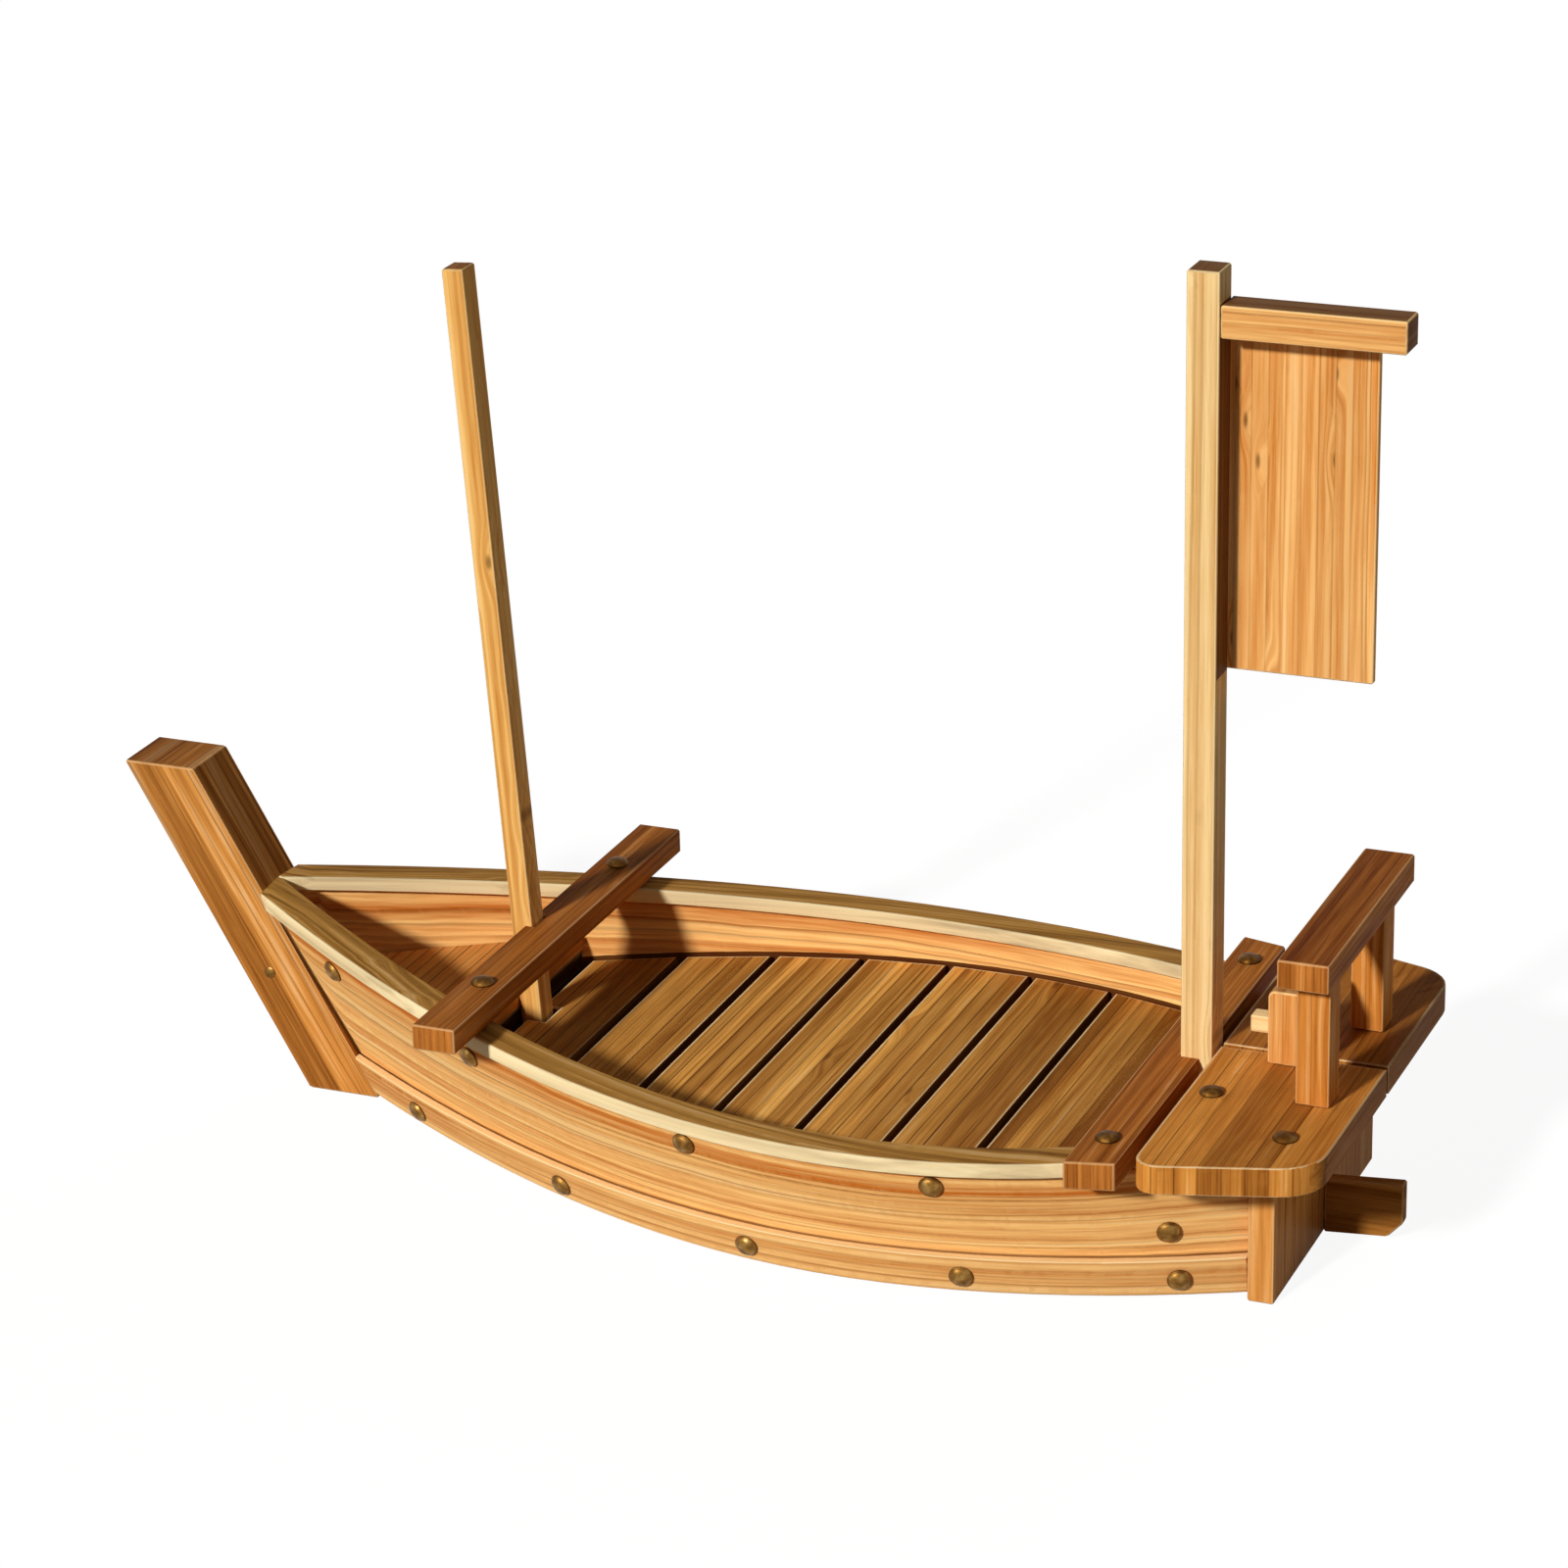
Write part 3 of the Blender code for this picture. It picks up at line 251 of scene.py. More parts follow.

    # Bands and fibres give the tone. The outer face of a wide board gets painted shade along both edges,
    # for the shade under the cap along its top, and is lighter in the middle
    band_reach = BAND_REACH * band_change
    band_tone = node(tree, "MapRange", {0: bands.outputs[0], 1: NOISE_SPAN[0], 2: NOISE_SPAN[1],
                                        3: BAND_TONE - band_reach, 4: BAND_TONE + band_reach})
    tone_here = node(tree, "Math", {0: fibres.outputs[0], 1: FIBRE_TONE, 2: band_tone.outputs[0]},
                     operation="MULTIPLY_ADD")
    if painted_edge_shade:
        off_middle = node(tree, "Math", {0: across, 1: painted_edge_shade[0]}, operation="SUBTRACT")
        to_edge = node(tree, "Math", {0: off_middle.outputs[0]}, operation="ABSOLUTE")
        edge_shade_tone = node(tree, "MapRange", {0: to_edge.outputs[0], 1: painted_edge_shade[1], 2: painted_edge_shade[2],
                                            3: MIDDLE_TONE, 4: EDGE_SHADE_TONE})
        outer_face = node(tree, "MapRange", {0: depth, 1: OUTER_FADE[0], 2: OUTER_FADE[1], 3: 1.0, 4: 0.0})
        tone_here = node(tree, "Math", {0: edge_shade_tone.outputs[0], 1: outer_face.outputs[0],
                                        2: tone_here.outputs[0]}, operation="MULTIPLY_ADD")
    ramp = node(tree, "ValToRGB", {0: tone_here.outputs[0]})
    ramp_stops(ramp, zip(TONE_PLACES, tones))

    # A dark strip is redder and a pale one yellower than the rest. Rings and knots lie over the tint
    dark_tint = [1 - share * strip_change for share in (1.0, 1.15, 1.3)]
    pale_tint = [1 + share * strip_change for share in (0.5, 0.65, 0.85)]
    tint = node(tree, "Mix", {0: draws.outputs[2], 6: (*dark_tint, 1.0), 7: (*pale_tint, 1.0)},
                data_type="RGBA")
    tinted = node(tree, "VectorMath", {0: ramp.outputs[0], 1: tint.outputs[2]}, operation="MULTIPLY")
    ringed = node(tree, "Mix", {0: dark_line.outputs[0], 6: tinted.outputs[0], 7: (*(tones[0] * 0.5), 1.0)},
                  data_type="RGBA")
    knotted = node(tree, "Mix", {0: knot.outputs[0], 6: ringed.outputs[2], 7: (*linear(KNOT_CORE), 1.0)},
                   data_type="RGBA")

    # Glue lines, strong in some places and faint in others
    edge = node(tree, "Math", {0: row.outputs[0]}, operation="FRACT")
    edge_fold = node(tree, "Math", {0: edge.outputs[0], 1: 0.5}, operation="PINGPONG")
    edge_mm = node(tree, "Math", {0: edge_fold.outputs[0], 1: strip[0]}, operation="MULTIPLY")
    glue_all = node(tree, "MapRange", {0: edge_mm.outputs[0], 1: GLUE_HALF[0], 2: GLUE_HALF[1],
                                       3: seam, 4: 0.0})
    glue_some = node(tree, "MapRange", {0: sway.outputs[0], 1: 0.4, 2: 0.6, 3: GLUE_LEAST, 4: 1.0})
    glue = node(tree, "Math", {0: glue_all.outputs[0], 1: glue_some.outputs[0]}, operation="MULTIPLY")
    glued = node(tree, "Mix", {0: glue.outputs[0], 6: knotted.outputs[2], 7: (*linear(GLUE_LINE), 1.0)},
                 data_type="RGBA")

    # Sawn ends and painted shade are darker and redder, and edges are pale, rubbed through the finish and
    # painted as highlights
    ends = node(tree, "Attribute", attribute_name="end_grain_and_shade", attribute_type="GEOMETRY")
    darkening = node(tree, "Mix", {0: ends.outputs["Fac"], 6: (*linear(WHITE), 1.0),
                               7: (end_shade, end_shade ** 1.25, end_shade ** 1.5, 1.0)}, data_type="RGBA")
    shaded = node(tree, "VectorMath", {0: glued.outputs[2], 1: darkening.outputs[2]}, operation="MULTIPLY")
    rubbed = node(tree, "Attribute", attribute_name="rubbed", attribute_type="GEOMETRY")
    wear = node(tree, "MapRange", {0: bands.outputs[0], 1: 0.3, 2: 0.7, 3: 0.55, 4: 1.0})
    worn = node(tree, "Math", {0: rubbed.outputs["Fac"], 1: wear.outputs[0]}, operation="MULTIPLY",
                use_clamp=True)
    final = node(tree, "Mix", {0: worn.outputs[0], 6: shaded.outputs[0], 7: (*tones[4], 1.0)},
                 data_type="RGBA")
    tree.links.new(final.outputs[2], shader.inputs["Base Color"])

    # The lacquer is satin, a little duller over the open lines, and the grain can just be felt
    gloss = node(tree, "MapRange", {0: fibres.outputs[0], 1: 0.3, 2: 0.7, 3: roughness + 0.12, 4: roughness})
    tree.links.new(gloss.outputs[0], shader.inputs["Roughness"])
    open_grain = node(tree, "Math", {0: glue.outputs[0], 1: dark_line.outputs[0]}, operation="ADD")
    height = node(tree, "Math", {0: open_grain.outputs[0], 1: -1.5, 2: fibres.outputs[0]},
                  operation="MULTIPLY_ADD")
    bump = node(tree, "Bump", {"Height": height.outputs[0], "Strength": 0.3, "Distance": 0.0003})
    tree.links.new(bump.outputs[0], shader.inputs["Normal"])
    shader.inputs["IOR"].default_value = 1.5
    shader.inputs["Specular IOR Level"].default_value = 0.015
    return material


def aged_brass(name, tones, roughness):
    """Cast brass that has been handled: patches of dull brown film between rubbed ones."""
    material = bpy.data.materials.new(name)
    material.use_nodes = True
    tree = material.node_tree
    shader = tree.nodes["Principled BSDF"]
    place = node(tree, "TexCoord")
    patina = node(tree, "TexNoise", {"Vector": place.outputs["Object"], "Scale": 1 / PATINA, "Detail": 3.0,
                                     "Roughness": 0.5})
    ramp = node(tree, "ValToRGB", {0: patina.outputs[0]})
    ramp_stops(ramp, zip((0.25, 0.5, 0.75), tones))
    tree.links.new(ramp.outputs[0], shader.inputs["Base Color"])
    gloss = node(tree, "MapRange", {0: patina.outputs[0], 1: 0.3, 2: 0.7, 3: roughness + 0.12, 4: roughness})
    tree.links.new(gloss.outputs[0], shader.inputs["Roughness"])
    dents = node(tree, "Bump", {"Height": patina.outputs[0], "Strength": 0.12, "Distance": 0.0003})
    tree.links.new(dents.outputs[0], shader.inputs["Normal"])
    shader.inputs["Metallic"].default_value = 1.0
    return material


# Pieces

def lot_of(name):
    """Lot that a piece is cut from: the chosen one, or else a steady number below LOTS."""
    drawn = sum((place + 3) * ord(letter) for place, letter in enumerate(name)) % LOTS
    return CHOSEN_LOTS.get(name, drawn)


def copy_of_node(name, flat=0.1):
    """The merged mesh of a CAD node as a bmesh, with faces that are flat within some degrees made whole."""
    shape = bmesh.new()
    shape.from_mesh(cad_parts[name].data)
    bmesh.ops.remove_doubles(shape, verts=shape.verts[:], dist=MERGE)
    bmesh.ops.dissolve_limit(shape, angle_limit=math.radians(flat), verts=shape.verts[:],
                             edges=shape.edges[:])
    return shape


def is_eased_edge(face):
    """True for the narrow slanting face along an edge."""
    sides = sorted(face.edges, key=lambda edge: edge.calc_length())[-2:]
    narrow = face.calc_area() / sides[-1].calc_length() < EASED_BREADTH
    return narrow and sum(edge.calc_face_angle(0.0) for edge in sides) > EASED_TURN


def add_piece(name, shape, material, body, slot, grain=None, along=None, lot=0, pale=None, soaked=None,
              end=1.0, nodes=()):
    """Turn a bmesh into a finished piece that rides on a body and stands for CAD nodes.

    A wooden piece has a grain, the place of each vertex along, across and into its lot of wood. along is
    the way that it runs, pale gives how pale a face is, from wear and painted highlights, the argument
    after it the painted shade of a face, and end the darkening of the sawn ends.
    """
    mesh = bpy.data.meshes.new(name)
    if grain is not None:
        # Eased edges are pale, from wear and as painted highlights, where no shade is painted on them,
        # and so are the faces that pale picks out
        sawn = [abs(face.normal.dot(along)) > SAWN for face in shape.faces]
        painted_shades = [soaked(face) if soaked else 0.0 for face in shape.faces]
        ends = [max(darkening, end * across) for darkening, across in zip(painted_shades, sawn)]
        rubbed = [1.0 if is_eased_edge(face) and not darkening else (pale(face) if pale else 0.0)
                  for face, darkening in zip(shape.faces, painted_shades)]
        # On a sawn end the lines run through the depth of the board
        shape.verts.index_update()
        on_end = np.stack([grain[:, 2], grain[:, 1], np.full(len(grain), SKIN)], axis=1)
        corners = np.array([(on_end if across else grain)[v.index]
                            for face, across in zip(shape.faces, sawn) for v in face.verts])
    for face in shape.faces:
        face.smooth = True
    shape.to_mesh(mesh)
    shape.free()
    mesh.materials.append(material)
    if grain is not None:
        mesh.attributes.new("grain", "FLOAT_VECTOR", "CORNER").data.foreach_set("vector", corners.ravel())
        mesh.attributes.new("end_grain_and_shade", "FLOAT", "FACE").data.foreach_set("value", ends)
        mesh.attributes.new("rubbed", "FLOAT", "FACE").data.foreach_set("value", rubbed)
        board = mesh.attributes.new("board", "FLOAT", "POINT")
        board.data.foreach_set("value", [float(lot)] * len(mesh.vertices))
    piece = bpy.data.objects.new(name, mesh)
    bpy.context.scene.collection.objects.link(piece)
    weighted = piece.modifiers.new("flat faces, round edges", "WEIGHTED_NORMAL")
    weighted.weight = 90
    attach(piece, body)
    if nodes:
        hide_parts(*nodes)
    return piece


def divide(shape, cuts):
    """Divide the faces of a shape along planes, each given as a direction and how far out it lies."""
    for outwards, reach in cuts:
        bmesh.ops.bisect_plane(shape, geom=shape.verts[:] + shape.edges[:] + shape.faces[:], dist=MERGE,
                               plane_co=outwards * reach, plane_no=outwards)


def dress_straight(node_name, material, body, slot, along, across, cuts=(), arris=0.0, **looks):
    """Piece of straight wood over a CAD node, with its grain along one direction.

    cuts divide its faces. arris is the breadth of the pale line round the faces that look up, a painted
    highlight, which is palest along the front, where the light falls.
    """
    shape = copy_of_node(node_name, flat=2.0)
    divide(shape, cuts)
    if arris:
        tops = [face for face in shape.faces if upper_face(face)]
        middle = sum(v.co.x for v in shape.verts) / len(shape.verts)
        worn = set(bmesh.ops.inset_region(shape, faces=tops, thickness=arris, use_even_offset=True)["faces"])

        # Painted highlight along the arris: full at the front, weaker at the back
        def pale(face):
            return (face in worn) * (1.0 if face.calc_center_median().x < middle else BACK_HIGHLIGHT)

        looks["pale"] = pale
    lot = lot_of(node_name)
    axes = np.array([along, across, along.cross(across)])
    grain = np.array([v.co for v in shape.verts]) @ axes.T
    grain += (lot / LOTS, SKIN, SKIN) - grain.min(axis=0)
    return add_piece(node_name + "_wood", shape, material, body, slot, grain, along, lot,
                     nodes=(node_name,), **looks)


def dress_bent(node_name, material, slot, breadth=None, slant=0.0, cuts=(), **looks):
    """Board bent round the hull, over its CAD node, with the grain following the bend.

    breadth is that of a board on edge, whose grain also follows its two edges, and whose inner face is cut
    from deeper in the tree. Without it the board lies flat, and its grain runs off the outer edge at a
    slant. cuts divide its faces.
    """
    shape = copy_of_node(node_name)
    divide(shape, cuts)
    x, y, z = np.array([v.co for v in shape.verts]).T
    y = np.abs(y)
    # The bend is read from the points near to stations along the board, clear of its ends
    clear, count, near = 0.012, 22, 0.022
    stations = np.linspace(x.min() + clear, x.max() - clear, count)
    rows = [np.abs(x - station) < near for station in stations]
    outer = [y[row].max() for row in rows]
    low = np.interp(x, stations, [z[row].min() for row in rows])
    high = np.interp(x, stations, [z[row].max() for row in rows])
    lengths = np.concatenate([[0.0], np.cumsum(np.hypot(np.diff(stations), np.diff(outer)))])
    lot = lot_of(node_name)
    along = np.interp(x, stations, lengths) + lot / LOTS
    if breadth:
        shape.normal_update()
        across = (z - low) / (high - low) * breadth
        depth = [OUTER_DEPTH if v.normal.y * v.co.y > 0 else INNER_DEPTH for v in shape.verts]
    else:
        across = np.interp(x, stations, outer) - y + slant * along
        depth = z - low + OUTER_DEPTH
    grain = np.stack([along, across, depth], axis=1)
    return add_piece(node_name + "_wood", shape, material, "hull", slot, grain, X, lot,
                     nodes=(node_name,), **looks)


def upper_face(face):
    """1 for a face that looks up, and 0 for any other."""
    return float(face.normal.z > FACING)


def painted_top_shade(name):
    """Painted shade on the faces of a piece that look up, darker than the light leaves them."""
    return lambda face: PAINTED_TOP_SHADES[name] * upper_face(face)


def raked(angle):
    """Directions along and across a post that leans towards the bow."""
    return Vector((-math.sin(angle), 0, math.cos(angle))), Vector((math.cos(angle), 0, math.sin(angle)))


def nail_axis(node_name):
    """Crown and outward direction of a CAD nail, whose two ends are its only many-sided fans."""
    shape = copy_of_node(node_name)
    middle = sum((v.co for v in shape.verts), Vector()) / len(shape.verts)
    ends = sorted((v.co.copy() for v in shape.verts if len(v.link_edges) > NAIL_FAN),
                  key=lambda end: (end - middle).length)
    shape.free()
    return ends[0], (ends[0] - ends[-1]).normalized()


def domed_head(crown, outwards, diameter, height, shank):
    """Nail with a turned dome, a thin rolled rim and a shank, as a closed bmesh."""
    shape = bmesh.new()
    radius = diameter / 2
    shank_profile = [(0.0, -shank), (SHANK_RADIUS, -shank), (SHANK_RADIUS, 0.0)]
    rim = [(radius * 0.97, 0.0), (radius, height * 0.10), (radius * 0.985, height * 0.24)]
    dome = [(radius * 0.93 * math.cos(angle), height * (0.27 + 0.73 * math.sin(angle)))
            for angle in map(math.radians, (4, 16, 30, 45, 60, 75))]
    profile = shank_profile + rim + dome + [(0.0, height)]
    chain = [shape.verts.new((across, 0.0, up)) for across, up in profile]
    edges = [shape.edges.new(pair) for pair in zip(chain, chain[1:])]
    bmesh.ops.spin(shape, geom=chain + edges, cent=(0, 0, 0), axis=(0, 0, 1), angle=math.tau, steps=32,
                   use_merge=True)
    bmesh.ops.remove_doubles(shape, verts=shape.verts[:], dist=1e-7)
    bmesh.ops.recalc_face_normals(shape, faces=shape.faces[:])
    place = Matrix.Translation(crown - outwards * height)
    turn = Z.rotation_difference(outwards).to_matrix().to_4x4()
    bmesh.ops.transform(shape, matrix=place @ turn, verts=shape.verts[:])
    return shape


# Sizes and colours that a user may change

def tone(name, description, code):
    """Colour property with its default as an sRGB hex colour."""
    return bpy.props.FloatVectorProperty(name=name, description=description, subtype="COLOR", size=3,
                                         min=0.0, max=1.0, default=linear(code))


def length(name, description, default):
    """Length property in metres."""
    return bpy.props.FloatProperty(name=name, description=description, default=default, min=0.0,
                                   unit="LENGTH", precision=4)


def level(name, description, default):
    """Strength of a light."""
    return bpy.props.FloatProperty(name=name, description=description, default=default, min=0.0)


class BoatColours(bpy.types.PropertyGroup):
    """Late wood and early wood of each of the boat's timbers, and the colours of brass and floor."""
    mast_late: tone("Mast late wood", "Darker lines in the pale wood of the masts", "#da9f56")
    mast_early: tone("Mast early wood", "Pale body of the masts and the tiller", "#ffdc9c")
    pole_late: tone("Front mast late wood", "Darker lines in the front mast", "#c67a2a")
    pole_early: tone("Front mast early wood", "Honey body of the front mast", "#f4be6c")
    gunwale_late: tone("Gunwale late wood", "Darker lines along the caps of the sides", "#764a17")
    gunwale_early: tone("Gunwale early wood", "Olive body of the caps", "#c99348")
    strake_late: tone("Strake late wood", "Orange lines along the side boards", "#c5671b")
    strake_early: tone("Strake early wood", "Honey body of the side boards", "#ffc87a")
    yard_late: tone("Yard late wood", "Orange lines along the yard", "#c5671b")
    yard_early: tone("Yard early wood", "Honey body of the yard", "#ffc87a")
    wale_late: tone("Wale late wood", "Orange lines along the lower side boards", "#c4722a")
    wale_early: tone("Wale early wood", "Honey body of the lower side boards", "#fac47a")
    stem_late: tone("Stem late wood", "Dark strips of the stem", "#84460f")
    stem_early: tone("Stem early wood", "Orange body of the stem", "#d08a40")
    beam_late: tone("Beam late wood", "Dark lines in the crossbeams", "#823c0a")
    beam_early: tone("Beam early wood", "Red-brown body of the crossbeams", "#d08238")
    slat_late: tone("Slat late wood", "Dark lines in the floor slats", "#984f0c")
    slat_early: tone("Slat early wood", "Brown body of the floor slats", "#f3ad52")
    foredeck_late: tone("Foredeck late wood", "Dark lines in the foredeck", "#c86c1c")
    foredeck_early: tone("Foredeck early wood", "Reddish body of the foredeck", "#ffb864")
    deck_late: tone("Deck late wood", "Dark lines in the stern deck", "#954909")
    deck_early: tone("Deck early wood", "Brown body of the stern deck", "#e09541")
    sail_late: tone("Sail late wood", "Orange lines in the sail board", "#d27b29")
    sail_early: tone("Sail early wood", "Honey body of the sail board", "#fec074")
    trim_late: tone("Trim late wood", "Dark lines in the posts and the rail", "#a2510d")
    trim_early: tone("Trim early wood", "Orange body of the posts and the rail", "#dd9040")
    transom_late: tone("Transom late wood", "Dark lines in the transom", "#a75812")
    transom_early: tone("Transom early wood", "Orange body of the transom", "#e39c4e")
    blade_late: tone("Blade late wood", "Dark lines in the rudder blade", "#8a4e14")
    blade_early: tone("Blade early wood", "Body of the rudder blade", "#c6853e")
    # The boards below the floor are painted nearly black, as shade
    hold_late: tone("Hold late wood", "Dark lines in the boards below the floor", "#1d0e05")
    hold_early: tone("Hold early wood", "Body of the boards below the floor", "#43260f")
    brass_dull: tone("Dull brass", "Brown film on the nails", "#5a3b15")
    brass_body: tone("Brass", "Body of the nails", "#835d2b")
    brass_rubbed: tone("Rubbed brass", "Worn places on the nails", "#a8874c")
    # Darker brass of the nails in the faces that look up: painted dark reflection in their domes
    brass_top_shade: tone("Brown brass", "Film on the nails in the upper faces, browned by oil", "#462507")
    floor: tone("Floor", "Pale grey studio floor", "#b4b2ae")


class BoatSizes(bpy.types.PropertyGroup):
    """Sizes of the small pieces and of the floor, and the lights."""
    nail_diameter: length("Nail diameter", "Across the domed head of a brass nail", 0.0105)
    nail_height: length("Nail height", "From the wood to the crown of a nail", 0.0030)
    nail_shank: length("Nail shank", "Length of a nail below its head", 0.0050)
    pin_diameter: length("Pin diameter", "Across the small pins in the sides of the stem", 0.0056)
    pin_height: length("Pin height", "How far a stem pin stands out of the wood", 0.0007)
    floor_breadth: length("Floor breadth", "Side of the studio floor", 14.0)
    key_height: bpy.props.FloatProperty(name="Key height", subtype="ANGLE", default=math.radians(27.5),
                                        description="Angle of the key light above the floor")
    key_level: level("Key level", "Strength of the key light", 3.2)
    back_level: level("Back level", "Strength of the light from the far side", 0.9)
    fill_level: level("Fill level", "Strength of the light from all round", 0.07)


# Figure of each timber, in millimetres along and across its grain
TIMBERS = {
    # Planed cypress under thin lacquer: very straight pale grain with a few small knots, and dark end grain
    "mast": dict(title="cypress_planed_lacquered", strip_change=0.05, band=(420.0, 4.5),
                 ring=(3.4, 300.0, 2.0), ring_change=0.6, knots=(62.0, 22.0, 0.4), end_shade=0.22),
    "pole": dict(title="cypress_honey_lacquered", strip_change=0.05, band=(380.0, 4.5),
                 ring=(3.2, 280.0, 2.0), knots=(60.0, 24.0, 0.75), end_shade=0.3),
    # Cypress board sawn to a curve: olive above and pale on its edges, with streaks that run off at a slant
    "gunwale": dict(title="cypress_sawn_lacquered", pale=0.95, strip_change=0.06, band=(240.0, 5.0),
                    ring=(3.6, 160.0, 2.5), ring_change=0.55, knots=(190.0, 30.0, 0.06)),
    # Bent side boards of pine: honey with soft orange bands and long thin dark lines along the sheer. The
    # upper one gets painted shade along both edges of its outer face, for the shade under the cap
    "strake": dict(title="pine_board_bent_lacquered", strip=(12.4, 1000.0), strip_change=0.08, seam=0.3,
                   band=(420.0, 4.5), ring=(4.4, 280.0, 3.0), ring_change=0.7,
                   knots=(190.0, 30.0, 0.08), end_shade=0.12, painted_edge_shade=(31.0, 15.0, 19.5)),
    "wale": dict(title="pine_wale_bent_lacquered", pale=0.5, strip_change=0.06, band=(400.0, 4.5),
                 ring=(4.0, 280.0, 2.5), ring_change=0.65, knots=(210.0, 26.0, 0.08)),
    # Post and beams glued up from strips of different tone
    "stem": dict(title="pine_post_laminated_lacquered", strip=(14.0, 10.2), strip_change=0.36, seam=0.5,
                 band=(260.0, 8.0), band_change=1.15, ring=(4.2, 220.0, 3.0), ring_change=0.45),
    "beam": dict(title="pine_beam_laminated_lacquered", strip=(6.6, 40.0), strip_change=0.26, seam=0.4,
                 band=(160.0, 4.0), band_change=0.8, ring=(2.6, 160.0, 2.0), ring_change=0.7,
                 end_shade=0.6),
    # Slats and deck glued up from narrow strips, browner than the sides, with dark glue lines
    "slat": dict(title="pine_slat_laminated_lacquered", pale=0.7, strip=(7.4, 60.0), strip_change=0.7,
                 seam=1.0, band=(170.0, 6.0), band_change=0.7, ring=(2.8, 170.0, 2.0), ring_change=0.55,
                 knots=(80.0, 22.0, 0.12), end_shade=0.36),
    "deck": dict(title="pine_deck_laminated_lacquered", pale=0.6, strip=(9.3, 60.0), strip_change=0.56,
                 seam=0.85, band=(170.0, 6.0), band_change=0.5, ring=(2.8, 170.0, 2.0), ring_change=0.4,
                 end_shade=0.95),
    # Narrow reddish boards side by side
    "foredeck": dict(title="pine_boards_narrow_lacquered", strip=(5.6, 60.0), strip_change=0.16, seam=0.85,
                     band=(120.0, 6.0), band_change=0.6, ring=(2.0, 120.0, 2.0)),
    # Planed boards and posts: soft orange bands, fine rings and, in the sail board, small knots
    "sail": dict(title="pine_board_strips_lacquered", strip=(7.2, 60.0), strip_change=0.14, seam=0.3,
                 band=(180.0, 4.5), ring=(3.0, 160.0, 2.5), ring_change=0.6, knots=(60.0, 18.0, 0.38)),
    "trim": dict(title="pine_trim_planed_lacquered", strip=(9.0, 60.0), strip_change=0.16, seam=0.2,
                 band=(170.0, 4.5), band_change=0.9, ring=(2.8, 160.0, 2.5), ring_change=0.6,
                 end_shade=0.6),
    "transom": dict(title="pine_transom_laminated_lacquered", strip=(15.5, 60.0), strip_change=0.3,
                    seam=0.75, band=(170.0, 4.5), band_change=0.9, ring=(3.0, 140.0, 3.0),
                    ring_change=0.7),
    # Oiled board: darker and duller, with the grain still showing
    "blade": dict(title="pine_stained_oiled", strip_change=0.05, band=(180.0, 7.0), ring=(2.4, 140.0, 2.5),
                  roughness=0.5),
    # The boards below the floor are painted nearly black, as shade for the dark space under the floor
    "hold": dict(title="pine_painted_shade_matt", band=(180.0, 7.0), ring=(2.4, 140.0, 2.5), roughness=0.65),
}
# The yard is cut from the same pine as the upper side boards, without their painted shade along the edges
TIMBERS["yard"] = dict(TIMBERS["strake"], title="pine_yard_planed_lacquered", painted_edge_shade=None)


def timber(context, key):
    """Material of a timber in the chosen colours, made once."""
    settings = dict(TIMBERS[key])
    title = settings.pop("title")
    if title in bpy.data.materials:
        return bpy.data.materials[title]
    colours = context.scene.boat_colours
    late = Vector(getattr(colours, key + "_late"))
    early = Vector(getattr(colours, key + "_early"))
    bare = Vector(linear(BARE_WOOD))
    body, streaks = late.lerp(early, BODY), early.lerp(bare, STREAKS)
    worn = early.lerp(bare, settings.pop("pale", WORN))
    return lacquered_wood(title, (late, body, early, streaks, worn), **settings)


def brass(context, browned=False):
    """Material of the nails, made once for each of the two: aged brass, and a darker copy for the nails in
    faces that look up, painted for the dark reflection in their domes.
    """
    title = "brass_cast_top_shade" if browned else "brass_cast_aged"
    if title in bpy.data.materials:
        return bpy.data.materials[title]
    colours = context.scene.boat_colours
    if browned:
        return aged_brass(title, (colours.brass_top_shade, colours.brass_dull, colours.brass_body), 0.5)
    return aged_brass(title, (colours.brass_dull, colours.brass_body, colours.brass_rubbed), 0.4)


# Operators, in the order in which the boat is put together

